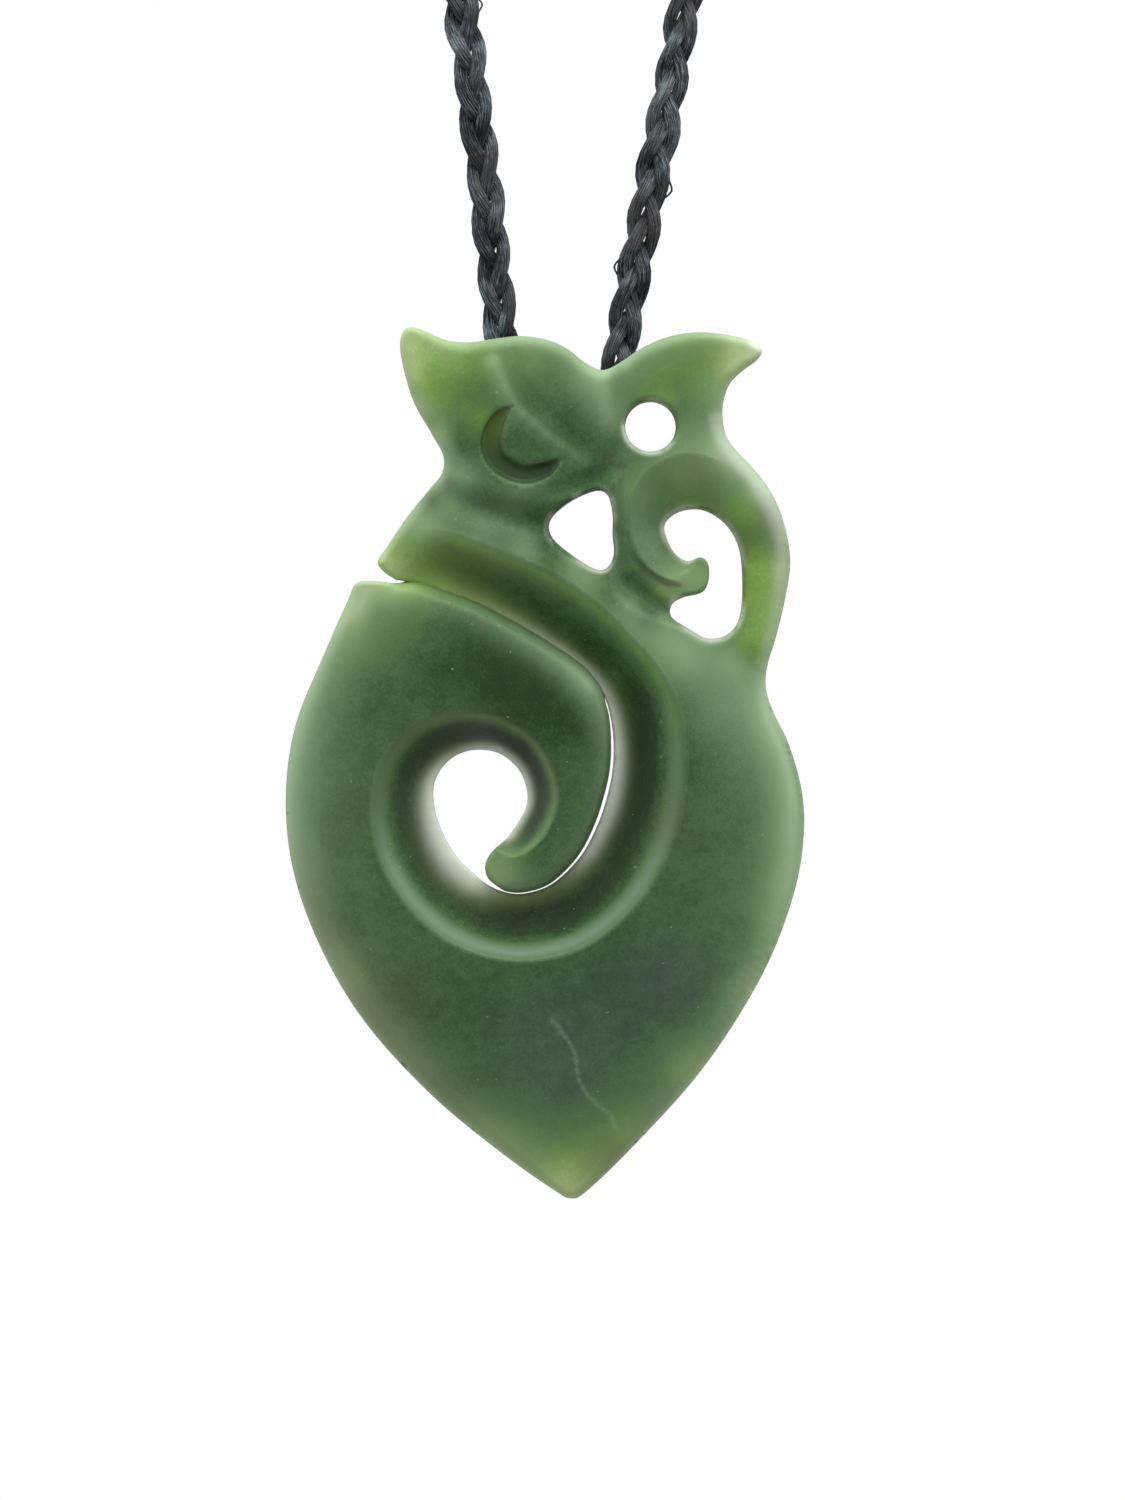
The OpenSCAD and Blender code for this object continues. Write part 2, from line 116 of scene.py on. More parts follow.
# Columns: x, z, width of the rounding of the edge there. From the band's tip, over the head, down the
# right side to the point, and up the left side to the slot.
silhouette = [
    (-13.4, -11.75, 0.4), (-14.2, -11.2, 0.6), (-14.6, -10.4, 0.7), (-13.8, -9.2, 0.8), (-12.2, -6.8, 1),
    (-10.4, -4.6, 1), (-9.5, -3.4, 0.9), (-9.4, -2, 0.9), (-10.4, -0.1, 1), (-11.7, 2.2, 1),
    (-12.5, 4.8, 0.9), (-12.8, 6.8, 0.7), (-12.5, 7.9, 0.6), (-11.8, 8.2, 0.6), (-10.6, 7.8, 0.8),
    (-9.2, 7.2, 1), (-7.4, 7, 1.2), (-5.2, 7.3, 1.2), (-3.2, 7.5, 1.2), (-1.2, 7.2, 1.2), (0.4, 6.5, 1.2),
    (1.8, 5.4, 1.2), (3.2, 4.8, 1.2), (4.6, 5.4, 1.2), (6.4, 6.6, 1.2), (8.6, 7.5, 1.2), (10.8, 7.8, 1),
    (13, 7.6, 0.8), (14.9, 7.1, 0.6), (15.8, 6.4, 0.5), (15.4, 5.6, 0.6), (14.2, 4.7, 0.8), (13.2, 3.6, 1),
    (12.7, 1.8, 1.2), (12.9, -0.2, 1.2), (13.7, -1.5, 1.2), (15.2, -3.1, 1.2), (16.6, -5, 1.2),
    (17.6, -7.4, 1.2), (18.1, -10.4, 1.2), (17.7, -13.4, 1.2), (17, -16.4, 1.2), (16.3, -18.8, 1.2),
    (16.2, -20.6, 1.2), (16.8, -22.5, 1.3), (18, -25, 1.4), (19, -28.5, 1.5), (19.25, -32, 1.5),
    (18.6, -36.5, 1.5), (16.7, -42, 1.5), (13.9, -47.2, 1.5), (10.4, -52.2, 1.5), (5.6, -57.5, 1.2),
    (2, -61, 0.8), (0.7, -61.6, 0.6), (-0.7, -60.9, 0.8), (-4.9, -57.9, 1.2), (-10.4, -53.3, 1.5),
    (-15.7, -47.4, 1.5), (-19.2, -41.4, 1.5), (-21.35, -35.3, 1.5), (-21.95, -29.3, 1.5),
    (-21.15, -23.5, 1.5), (-18.85, -17.8, 1.3), (-17, -13.6, 0.9), (-16.3, -12.2, 0.4), (-15, -12, 0.4),
    (-13.5, -12.15, 0.4),
]
triangleHole = [
    (2.6, -4.8, 0.5), (3.6, -5.1, 0.5), (4, -6.6, 0.7), (4, -8.2, 0.7), (4.1, -9.9, 0.5), (3.5, -11, 0.4),
    (2.5, -11, 0.5), (0.6, -9.8, 0.9), (-0.8, -8.5, 0.8), (-0.9, -7.1, 0.5), (0.6, -5.7, 0.7),
]
hookHole = [
    (8.1, -7.8, 0.5), (8.7, -6.8, 0.4), (9.9, -6.3, 0.4), (11.4, -6.4, 0.5), (13, -7.5, 0.6),
    (14, -9.3, 0.7), (14.3, -12, 0.7), (14.1, -14.8, 0.6), (13.2, -16.2, 0.6), (11.6, -16.6, 0.8),
    (10.2, -15.9, 0.8), (8.7, -14.9, 0.6), (8.7, -13.9, 0.4), (9.6, -13.3, 0.5), (11.1, -12.9, 0.4),
    (11.6, -12, 0.3), (11.6, -10.7, 0.3), (11, -10.1, 0.3), (9.9, -10.4, 0.4), (8.8, -9.6, 0.5),
]
finHole = [(7 - 2 * math.cos(a), 0.3 + 2 * math.sin(a), 0.6) for a in np.radians(range(0, 360, 30))]

shoulder = {
    "depth": 1.7,
    "reach": 6.5,
    "curve": 1.4,
    "end": 19,            # rows of the spiral cove: where it ends, and over how many it fades at each end
    "fadeIn": 2,
    "fadeOut": 4,
    "top": -5,            # z where it starts, and the distance down over which it grows
    "fadeUp": 6,
}

# Crown of the dome. Columns: z, x of the middle, half the width there, height as a share of the crown.
crown = [
    (-63, 0.6, 3.5, 0.35), (-58, 0.3, 6.4, 0.62), (-52, -0.4, 11.8, 0.85), (-45, -1.1, 16.5, 0.97),
    (-37, -1.3, 20.0, 1), (-29, -1.4, 20.9, 1), (-22, -2.0, 19.8, 0.95), (-14, 0, 18.5, 0.8),
    (-7, 2, 16.5, 0.7), (0, 1.6, 15, 0.6), (10, 1.4, 16, 0.35),
]

# Coves, a row for each cross-section. Columns: ridge x, ridge z, lip x, lip z.
spiralCove = {
    "lip": 0.1,           # height of its floor at the lip
    "steepness": 2.5,
    "ramp": 0.02,         # width of the step from the face around it to its ridge
    "past": 0.07,         # how far it reaches past its lip
    # its section is painted shade in the middle and painted light near the ridge
    "depth": 1.0,         # how much of its colour follows its own section
    # where light comes through its lip: row, share of the way across, how strong, how yellow
    "glow": [
        (0, 0.7, 0.8, 1), (2, 0.55, 0.85, 1), (4, 0.45, 0.8, 0.85), (6, 0.38, 0.8, 0.5),
        (8, 0.34, 0.85, 0.2), (10, 0.4, 0.75, 0.15), (12, 0.4, 0.92, 0.05), (14, 0.42, 1, 0),
        (16, 0.38, 1, 0.1), (17, 0.38, 0.8, 0.4), (18, 0.3, 0.6, 0.7), (20, 0.3, 0.6, 0.8),
        (21, 0.45, 0.85, 0.4), (22, 0.58, 1, 0.1), (23, 0.66, 1, 0), (24, 0.6, 1, 0), (26, 0.5, 0.9, 0.1),
        (28, 0.4, 0.7, 0.2), (30, 0.52, 1, 0), (32, 0.55, 1, 0), (34, 0.5, 0.9, 0.2), (36, 0.8, 0.8, 0.3),
    ],
    "gentle": [(13, 1), (17, 0), (24, 0), (28, 0.5)],   # row: how softly it leaves its ridge
    "fades": (2.6, 1.5),  # rows over which it runs out at its start and its end
    "rows": [
        (-13.4, -7.8, -15, -11.5), (-10.6, -7.8, -13.2, -11.9), (-8.2, -8.2, -11.6, -12.2),
        (-6, -9, -9.3, -13), (-3.8, -9.9, -7.1, -13.8), (-1.6, -10.8, -4.9, -14.9),
        (0.5, -11.9, -2.6, -16.2), (2.7, -13.5, -0.5, -17.5), (4.7, -15.4, 1.1, -18.6),
        (6.5, -17.3, 2.3, -19.7), (8, -19.2, 3.2, -20.9), (9.2, -21.6, 3.8, -22.6),
        (9.8, -24.8, 4.1, -24.9), (9.8, -28, 4, -27.3), (9.3, -31.2, 3.5, -29.6), (8.3, -34, 2.8, -31.6),
        (6.7, -36.9, 1.8, -33.6), (4.5, -39.4, 0.6, -35.1), (1.8, -41.3, -0.8, -36.3),
        (-1, -42.2, -2.2, -36.9), (-4, -42.4, -3.8, -37.1), (-7.2, -41.7, -5.5, -36.6),
        (-9.9, -40.3, -6.9, -35.6), (-12.3, -38, -8.3, -34.2), (-14.3, -34.8, -9.4, -32.4),
        (-15.1, -31.3, -10.1, -30.4), (-15, -28.2, -10.2, -28.4), (-13.9, -25.6, -9.5, -26.9),
        (-11.7, -23.4, -8.3, -25.9), (-8.8, -22.4, -6.7, -25.5), (-5.4, -22.7, -5, -25.8),
        (-2.5, -24.3, -3.6, -26.9), (-0.8, -26.8, -2.9, -28.3), (-0.3, -29.5, -2.8, -29.9),
        (-1.1, -32, -3.6, -31.5), (-2.6, -33.6, -4.5, -32.7), (-4.2, -34.2, -5.3, -33.4),
    ],
}
hookCove = {
    "lip": 0.7,
    "steepness": 1.5,
    "ramp": 0.36,
    "past": 0.4,
    "depth": 0.03,
    "glow": [(0, 0.2, 0.3, 0.5)],
    "gentle": [(0, 0.5)],
    "fades": (0.8, 2.5),
    "rows": [
        (9.6, -12.6, 10.8, -10.2), (7.5, -11.8, 10, -10.4), (5.9, -10.4, 9.2, -10), (5.1, -8.5, 8.6, -9.3),
        (5.1, -6.4, 8.1, -8.1), (5.8, -4.3, 8.4, -7.2), (7.3, -2.7, 9, -6.6), (9.4, -1.8, 10.1, -6.3),
        (11.6, -2, 11.5, -6.4), (13.6, -3, 13, -7.4), (15.2, -4.8, 14.3, -8.9),
    ],
}
mouthRow, hairRow, slotRow = 1, 11, 21    # rows of the spiral cove where the slot starts, opens and ends
hookTip = [(-5.8, -35.9), (-6.1, -34.9), (-5.8, -34.0)]

# Grooves. Columns: x, z, width, depth. lean is how far the deepest line lies towards the right-hand
# side; above 1, floor flattens the bottom.
grooves = {
    "eye": {"lean": 0.4, "floor": 1.6, "rows": [
        (-4.0, 1.8, 0.4, 0.15), (-4.9, 0.9, 1.5, 0.45), (-5.5, -0.8, 2.1, 0.6), (-5.0, -2.4, 2.1, 0.65),
        (-3.2, -3.4, 2.0, 0.7), (-1.4, -3.1, 1.6, 0.65), (-0.3, -2.4, 0.6, 0.2)]},
    "crestRidge": {"lean": 0, "floor": 1, "rows": [
        (-5.8, 7.0, 1.2, -0.03), (-5.3, 5.1, 1.3, -0.1), (-4.7, 3.4, 1.4, -0.12), (-3.9, 1.9, 1.4, -0.12),
        (-2.5, 0.5, 1.4, -0.1), (-0.8, -0.9, 1.4, -0.08), (1.05, -2.25, 1.2, -0.05),
        (2.3, -3.3, 0.8, -0.01)]},
    "neck": {"lean": 0, "floor": 1, "rows": [
        (-9.8, -3.9, 2.0, 0.1), (-8.4, -5.4, 3.4, 0.4), (-5.8, -6.4, 3.6, 0.5), (-3.2, -7.1, 3.4, 0.55),
        (-0.6, -7.7, 2.6, 0.5)]},
    "crest": {"lean": -0.4, "floor": 1, "rows": [
        (-4.6, 7.0, 1.8, 0.04), (-4.0, 5.0, 2.4, 0.08), (-3.4, 3.4, 2.6, 0.12), (-2.4, 1.9, 2.6, 0.12),
        (-0.9, 0.6, 2.4, 0.1), (0.8, -0.8, 2.2, 0.07), (2.2, -2.4, 1.4, 0.03)]},
    "lobe": {"lean": 0, "floor": 1, "rows": [
        (3.3, 5.6, 2.6, 0.4), (4.1, 2.6, 3.0, 0.6), (4.2, -0.6, 2.6, 0.65), (3.4, -3.4, 2.8, 0.7),
        (1.2, -4.4, 2.4, 0.35), (-0.8, -4.9, 1.8, 0.1)]},
    "ring": {"lean": 0, "floor": 1, "rows": [
        (4.6, -3.2, 1.8, 0.3), (4.6, -4.6, 1.6, 0.3), (4.5, -10.6, 1.8, 0.3), (5.1, -12.3, 2.9, 0.7),
        (6.8, -13.6, 2.9, 0.8), (8.6, -14.8, 2.0, 0.4)]},
}
# Paler and darker patches, partly the stone's own tone: yellow-green is painted light coming through thin
# stone, milky is a painted sheen, and milky below 0 a painted shade. Columns: x, z, reach, how yellow-green,
# how milky.
palePatches = [
    (-12.6, 4.6, 1.2, 0, 0.4), (-11.7, 1.6, 1.2, 0, 0.45), (-10.3, -0.8, 1.2, 0, 0.4),
    (-8.8, 5.8, 2, 0.3, 0.15), (-12.4, 6.6, 2.4, 0.95, 0.25), (-12.2, 5, 3.6, 0.65, 0),
    (-10.8, 2.4, 3.4, 0.35, -0.05), (-6.8, 5.8, 2.2, 0.45, -0.1), (-6.2, 1, 1.6, 0.4, 0),
    (15.4, 6.6, 1.8, 0.6, 1), (14, 5.2, 2.4, 0.85, 0.3), (-3, 5.6, 2, 0.35, 0.05),
    (0.4, 6.2, 2, 0.1, -0.02), (2.4, 5.4, 1.8, 0, -0.12), (10.5, 5.6, 4, 0.36, 0), (7.4, 3.6, 1.8, 0.25, 0),
    (2.6, 4, 2, 0.05, 0.3), (3.7, 1.4, 1.5, 0, 0.45), (0.4, 0.9, 2.8, -0.14, 0), (-3.4, -0.8, 1.5, -0.1, 0),
    (3.6, -4.2, 1.4, -0.15, -0.35), (-2, -7.9, 1.6, -0.1, -0.3), (-5.5, 5.4, 0.7, 0, 0.5),
    (-5.1, 4.4, 0.7, 0, 0.4), (-4.7, 3.4, 0.7, 0, 0.5), (-4.2, 2.4, 0.7, 0, 0.4), (-3.4, 1.3, 0.7, 0, 0.45),
    (-2.4, 0.4, 0.7, 0, 0.4), (-1.3, -0.5, 0.7, 0, 0.4), (-0.2, -1.3, 0.7, 0, 0.3),
    (0.9, -2.1, 0.8, 0, 0.25), (-3.2, -4.9, 2, 0, 0.25), (-7.6, -0.8, 1.2, 0, -0.25),
    (5.4, 0.4, 1.2, 0, 0.4), (8.2, 2.4, 0.8, 0.3, 0.1), (-13.6, -11, 2, 0.95, 0.05),
    (-12, -10.6, 2.4, 0.6, 0), (-14.6, -10.6, 1, 0, 0.5), (-14.6, -13.2, 1.2, -0.15, 0),
    (-16.4, -13.2, 1.8, 0.2, 0.3), (-9.4, -10.8, 2.8, 0.45, 0), (-6, -11.6, 2.4, 0.3, 0),
    (-2.6, -12.9, 2.6, 0.2, 0), (1, -15, 2.6, 0.18, 0), (5, -18.5, 2.6, 0.15, 0), (-12, -5.5, 3, 0.1, 0),
    (-10, -7.8, 2.2, 0, 0.38), (-6.4, -8.4, 1.6, 0, 0.42), (-7.6, -4, 1.5, 0, 0.25),
    (-10.6, -5.4, 1.2, 0, -0.3), (-3, -9.4, 1.6, 0, 0.7), (1.5, -11.4, 1.8, 0, 0.7),
    (5.5, -14.8, 2, 0, 0.6), (8.6, -16.8, 2, 0, 0.8), (7.7, -13, 0.9, 0.4, 0),
    (6.8, -14.3, 1.3, -0.15, -0.5), (10.2, -17.8, 2.4, 0, 0.85), (6.4, -22.2, 1.6, 0, 0.42),
    (5.4, -17.2, 1.6, 0, 0.3), (1.6, -13.4, 1.4, 0, 0.3), (13, -18.6, 1.6, 0, 0.5),
    (12.6, -21.5, 2.6, 0, 0.4), (6.2, -19.8, 1.8, 0, 0.3), (14.9, -18, 1.4, 0, -0.3),
    (16.6, -24.5, 4, 0, 0.42), (19.5, -31, 4, 0, 0.55), (18, -37, 4, 0, 0.25), (5.5, -4.8, 2.6, 0.15, 0.35),
    (8.8, -1.6, 2.4, 0.1, 0.4), (9.8, -3, 2, 0, 0.25), (13, -2.2, 2.2, 0.1, 0.6), (10, -4.4, 2.6, 0.4, 0),
    (14.6, -6.6, 2.2, 0.65, 0), (15.4, -10.6, 2.2, 0.55, 0), (15.4, -13.4, 2, 0.5, 0),
    (15.2, -16.4, 2.2, 0.6, 0), (16.6, -4.6, 1.8, 0, 0.8), (18.4, -7.6, 1.6, 0, 0.9),
    (18.9, -11, 1.6, 0, 0.6), (18.2, -14.5, 1.3, 0, 0.3), (10.6, -11.6, 2, 0.4, 0.5),
    (6.6, -8.6, 1.6, 0, 0.3), (8.3, -12.2, 1.4, 0.1, 0.3), (7.4, -10, 1.2, 0, 0.25),
    (-16.6, -15.5, 3.2, 0.35, 0.2), (-13, -16, 3, 0.15, 0), (-16.6, -13.6, 1.4, 0, 0.5),
    (-21.5, -24, 6, 0, 0.25), (-21.5, -33, 6, 0, 0.2), (-19, -46, 4, 0, 0.2), (-5.4, -34.9, 2.2, 0.4, 0.5),
    (-8, -17, 6.5, -0.1, 0), (1, -24, 5, -0.08, 0), (-1, -49, 7, -0.08, 0), (0.6, -61.2, 2.6, 0.85, 0.3),
    (0.6, -60.2, 4, 0.65, 0.05), (-4.4, -57.4, 3, 0.35, 0.1), (5, -56.6, 3.2, 0.45, 0),
    (-19.2, -43.5, 2.6, 0.25, 0.1), (-13.4, -51.4, 2.6, 0.3, 0.05), (10.6, -51.6, 3, 0.5, 0.05),
    (15.8, -45.4, 2.6, 0.25, 0.15), (-7, -56.4, 2.6, 0.25, 0.05), (-3, -21.5, 5, -0.12, 0),
    (-12, -46, 4, -0.08, 0), (9, -46, 5, -0.08, 0),
]
# The arm's bevelled outer edge, paler grey. Columns: x, z, how much.
armBevel = [
    (12.2, 0.8, 0.4), (13.1, -1.6, 0.6), (15.3, -4.1, 0.65), (16.6, -6.5, 0.7), (17.4, -8.9, 0.5),
    (17.5, -11.2, 0.3), (17.3, -13.6, 0.2), (16.8, -16, 0.2), (16, -18.4, 0.1),
]
# Where the eye's groove looks olive, where a painted bluish grey reflection lies on the stone, and where the
# stone is brown. Columns: x, z, reach, how much.
olivePatches = [(-5.4, 0.5, 1.7, 0.95)]
coolSheenPatches = [(0, -50, 8, 0.3), (9, -43, 5, 0.25), (-10, -40, 5, 0.1), (-5, -6.5, 3, 0.1)]
brownPatches = [
    (-18.4, -45.5, 2.6, 0.35), (-15.8, -48.8, 2.6, 0.35), (-12.6, -52.2, 2.4, 0.3), (-20.2, -41, 2.6, 0.3),
    (-8.6, -55.6, 2, 0.2), (-21.2, -36, 2.4, 0.15), (-14, -45, 4, 0.08),
]
vein = [(-0.8, -47.1), (0.2, -48.5), (1.0, -49.8), (1.4, -52.2), (2.6, -53.8), (3.9, -54.9), (4.2, -55.8)]


def smoothLine(rows, steps, closed=False):
    # through every row; each leg is a cubic whose end slopes follow the rows on either side of it
    rows = np.array(rows, float)
    if closed:
        before, start, end, after = (np.roll(rows, k, 0) for k in (1, 0, -1, -2))
    else:
        before, start = np.vstack([rows[:1], rows[:-2]]), rows[:-1]
        end, after = rows[1:], np.vstack([rows[2:], rows[-1:]])
    before, start, end, after = (a[:, None] for a in (before, start, end, after))
    t = (np.arange(steps) / steps)[:, None]
    line = ((2 * t**3 - 3 * t**2 + 1) * start + (t**3 - 2 * t**2 + t) * (end - before) / 2
            + (3 * t**2 - 2 * t**3) * end + (t**3 - t**2) * (after - start) / 2)
    line = line.reshape(-1, rows.shape[1])
    return line if closed else np.vstack([line, rows[-1:]])


def unit(vectors):
    return vectors / np.linalg.norm(vectors, axis=-1, keepdims=True)


def rightOf(line, closed=False):
    # unit directions square to the line, towards its right-hand side
    way = unit(np.roll(line, -1, 0) - np.roll(line, 1, 0) if closed else np.gradient(line, axis=0))
    return np.stack([way[:, 1], -way[:, 0]], axis=1)


def lookUp(table, at):
    # the table's other columns at these values of its first one, straight between rows
    first, *others = np.transpose(table)
    return [np.interp(at, first, column) for column in others]


def evenly(line, step, closed=False, axes=2):
    # the same line with its points a step apart, measured along its first columns
    path = np.vstack([line, line[:1]]) if closed else line
    run = np.append(0, np.cumsum(np.linalg.norm(np.diff(path[:, :axes], axis=0), axis=1)))
    count = max(3, int(round(run[-1] / step)))
    at = np.linspace(0, run[-1], count + 1)[:count if closed else count + 1]
    return np.stack([np.interp(at, run, column) for column in path.T], axis=1)


def inBlocks(points):
    # the points in groups of about 150, so that a table of them against a whole line stays small
    return np.array_split(points[:, :2], len(points) // 150 + 1)


def nearest(points, line, closed=False):
    # distance from each point to the line, the place along it in rows, and + on its right-hand side
    start = line[:, :2] if closed else line[:-1, :2]
    leg = (np.roll(line, -1, 0) if closed else line[1:])[:, :2] - start[:, :2]
    (startX, startZ), (legX, legZ) = start.T, leg.T
    square = legX**2 + legZ**2 + 1e-12
    parts = []
    for block in inBlocks(points):
        x, z = block[:, :1] - startX, block[:, 1:] - startZ
        share = np.clip((x * legX + z * legZ) / square, 0, 1)
        squares = (x - share * legX) ** 2 + (z - share * legZ) ** 2
        best = squares.argmin(1)
        pick = np.arange(len(best)), best
        turn = legZ[best] * x[pick] - legX[best] * z[pick]
        parts.append(np.stack([np.sqrt(squares[pick]), best + share[pick], np.sign(turn)], axis=1))
    return np.concatenate(parts).T


def inside(points, loop):
    # counts the edges of the closed line that a ray from each point to the right crosses
    crossings = np.zeros(len(points), int)
    x, z = points[:, 0], points[:, 1]
    for (ax, az), (bx, bz) in zip(loop[:, :2], np.roll(loop[:, :2], -1, 0)):
        if az != bz:
            crossings += ((az > z) != (bz > z)) & (x < (bx - ax) * (z - az) / (bz - az) + ax)
    return crossings % 2 == 1


def along(line, place):
    # the line's columns at places counted in rows, with the last row joined to the first
    ring = np.vstack([line, line[:1]])
    return np.stack([np.interp(place, np.arange(len(ring)), column) for column in ring.T], axis=1)


def smoothStep(t):
    t = np.clip(t, 0, 1)
    return t * t * (3 - 2 * t)


def dome(x, z, rim, top):
    # an arc across from rim to rim, over a crown that follows the table
    middle, half, share = lookUp(crown, z)
    return rim + (top - rim) * share * np.clip(1 - ((x - middle) / half) ** 2, 0, None)


def coveLines(cove):
    # dense cross-sections of a cove: its ridge line and its lip line
    dense = smoothLine(cove["rows"], coveSteps)
    return dense[:, :2], dense[:, 2:]


def coveOf(points, cove):
    # the row of the cross-section each point lies on, and its share of the way from ridge to lip
    ridge, lip = coveLines(cove)
    reach = lip - ridge
    length = np.linalg.norm(reach, axis=1)
    parts = []
    for block in inBlocks(points):
        away = block[:, None] - ridge
        share = (away * reach).sum(2) / length**2
        off = (away[..., 0] * reach[:, 1] - away[..., 1] * reach[:, 0]) / length
        cost = np.abs(off) + 9 * ((share < -0.05) | (share > 1.2))   # shuns sections that it lies beyond
        near = cost.argmin(1)
        pick = np.arange(len(near))
        after = np.clip(near + 1, 0, len(ridge) - 1)
        before = np.clip(near - 1, 0, len(ridge) - 1)
        other = np.where(off[pick, near] * off[pick, after] < 0, after, before)
        change = off[pick, near] - off[pick, other]
        blend = np.clip(off[pick, near] / np.where(change == 0, 1, change), 0, 1)
        row = (near + blend * (other - near)) / coveSteps
        across = share[pick, near] + blend * (share[pick, other] - share[pick, near])
        parts.append(np.stack([row, across], axis=1))
    return np.concatenate(parts).T


def coveLoop(cove):
    # outline of a cove, reaching a little past its lip
    ridge, lip = coveLines(cove)
    return np.vstack([ridge, (lip + cove["past"] * unit(lip - ridge))[::-1]])


def stoneEdges():
    # the outer edge, in along the slot, round the hook's tip and the big hole, and back along the lip
    lip = smoothLine(spiralCove["rows"], edgeSteps)[:, 2:]
    width = lookUp(stone["slotWidths"], np.arange(len(lip)) / edgeSteps)[0]
    near = lip + width[:, None] * rightOf(lip)
    first, last = edgeSteps * mouthRow, edgeSteps * slotRow

    def rounded(line, name):
        return np.column_stack([line, np.full(len(line), stone[name])])

    tongue = rounded(near[first:last - 2], "tongueRound")
    tip = rounded(smoothLine([near[last - 3], *hookTip, lip[-2]], 5)[2:-2], "tipRound")
    rim = rounded(lip[::-1][1:len(lip) - first], "lipRound")
    loops = [np.vstack([smoothLine(silhouette, edgeSteps), tongue, tip, rim])]
    loops += [smoothLine(hole, edgeSteps, closed=True)[::-1] for hole in (triangleHole, hookHole, finHole)]
    return [evenly(loop, stone["edgeStep"], closed=True) for loop in loops]


def cellsOf(points):
    # column and row of each point's square cell in the table of taken ones
    return np.floor(points[:, :2] / stone["cell"]).astype(int) + stone["cells"] // 2


def thinned(points, taken):
    # keeps one point in each cell, and none in or beside a cell already taken
    cells = cellsOf(points)
    _, first = np.unique(cells[:, 0] * stone["cells"] + cells[:, 1], return_index=True)
    points, cells = points[np.sort(first)], cells[np.sort(first)]
    around = [taken[cells[:, 0] + i, cells[:, 1] + k] for i in (-1, 0, 1) for k in (-1, 0, 1)]
    free = ~np.any(around, axis=0)
    taken[cells[free, 0], cells[free, 1]] = True
    return points[free]


def stonePoints(loops):
    # points in the stone's plane: its edges, rows that follow the roundings, ridges and grooves, a grid
    edge = np.vstack(loops)
    taken = np.zeros((stone["cells"], stone["cells"]), bool)
    taken[tuple(cellsOf(edge).T)] = True
    rows = []

    def addRow(line, step=stone["ribStep"]):
        # the third column is about how far its points have to stay from an edge
        line = evenly(line, step)
        rows.append(np.column_stack([line, np.full(len(line), stone["rowClear"])]))

    for loop in loops:
        inward = rightOf(loop[:, :2], closed=True)
        for share in stone["edgeRows"]:
            step = share * loop[:, 2:3]
            rows.append(np.hstack([loop[:, :2] + step * inward, step]))
    for cove in (spiralCove, hookCove):
        dense = smoothLine(cove["rows"], grooveSteps)
        for share in stone["coveRows"]:
            addRow(dense[:, :2] + share * (dense[:, 2:] - dense[:, :2]))
    for groove in grooves.values():
        dense = smoothLine(groove["rows"], grooveSteps)
        for share in stone["grooveRows"]:
            addRow(dense[:, :2] + share * dense[:, 2:3] / 2 * rightOf(dense[:, :2]))
    addRow(smoothLine(vein, edgeSteps), stone["veinStep"])
    ribs = np.vstack(rows)
    # every second row of the grid is shifted by half a step, for even triangles
    across = stone["gridStep"]
    (left, foot), (right, top) = stone["gridFrom"], stone["gridTo"]
    x, z = np.meshgrid(np.arange(left, right, across), np.arange(foot, top, across * 0.87))
    x = x + across / 2 * (np.arange(len(z))[:, None] % 2)
    grid = np.stack([x.ravel(), z.ravel()], axis=1)
    kept = [edge[:, :2]]
    for points, clear in ((ribs, 0.85 * ribs[:, 2]), (grid, stone["gridClear"])):
        free = nearestLoops(points, loops)[0] > clear
        kept.append(thinned(points[free & withinStone(points, loops)], taken)[:, :2])
    return np.vstack(kept)


def nearestLoops(points, loops):
    # distance to the closest edge of the stone, and the width of the rounding there
    found = [nearest(points, loop, closed=True) for loop in loops]
    best = np.argmin([f[0] for f in found], axis=0)
    distance = np.choose(best, [f[0] for f in found])
    widths = [along(loop[:, 2:3], f[1])[:, 0] for loop, f in zip(loops, found)]
    return distance, np.choose(best, widths)


def withinStone(points, loops):
    # inside the outer edge and in none of the holes
    within = inside(points, loops[0])
    for hole in loops[1:]:
        within &= ~inside(points, hole)
    return within


def grooveDrop(points, groove):
    # falls to its depth at the leaning line and comes back up, both as smooth steps
    line = smoothLine(groove["rows"], grooveSteps)
    gap, place, side = nearest(points, line)
    width, depth = along(line[:, 2:], place).T
    across, lean = side * gap / (width / 2), groove["lean"]
    rise = np.where(across < lean, (across + 1) / (lean + 1), (1 - across) / (1 - lean))
    return depth * smoothStep(rise * groove["floor"])


def shoulderDrop(points):
    # the band and the shoulder fall away from the outer side of the cove's ridge, but not at the head
    ridge = smoothLine(spiralCove["rows"][:shoulder["end"]], grooveSteps)[:, :2]
    gap, place, side = nearest(points, ridge)
    row = place / grooveSteps
    fall = shoulder["depth"] * (1 - np.exp(-(gap / shoulder["reach"]) ** shoulder["curve"])) * (side < 0)
    fall = fall * smoothStep(row / shoulder["fadeIn"])
    fall = fall * smoothStep((shoulder["end"] - 1 - row) / shoulder["fadeOut"])
    return fall * smoothStep((shoulder["top"] - points[:, 1]) / shoulder["fadeUp"])


def fromSlot(points):
    # distance from each point to the slot's edge, and the row of the cove there
    gap, place, _ = nearest(points, smoothLine(spiralCove["rows"][mouthRow:slotRow + 1], edgeSteps)[:, 2:])
    return gap, mouthRow + place / edgeSteps


def tongueDrop(points):
    # the tongue's side of the slot falls softly towards it as a parabola
    gap, _ = fromSlot(points)
    return stone["tongueFall"] * np.clip(1 - gap / stone["tongueReach"], 0, 1) ** 2


def paintedTongueSheen(points):
    # a painted sheen beside the slot, bell-shaped, as strong as the table says
    gap, row = fromSlot(points)
    return lookUp(stone["tongueSheen"], row)[0] * np.exp(-((gap - stone["sheenAt"]) / stone["sheenReach"]) ** 2)


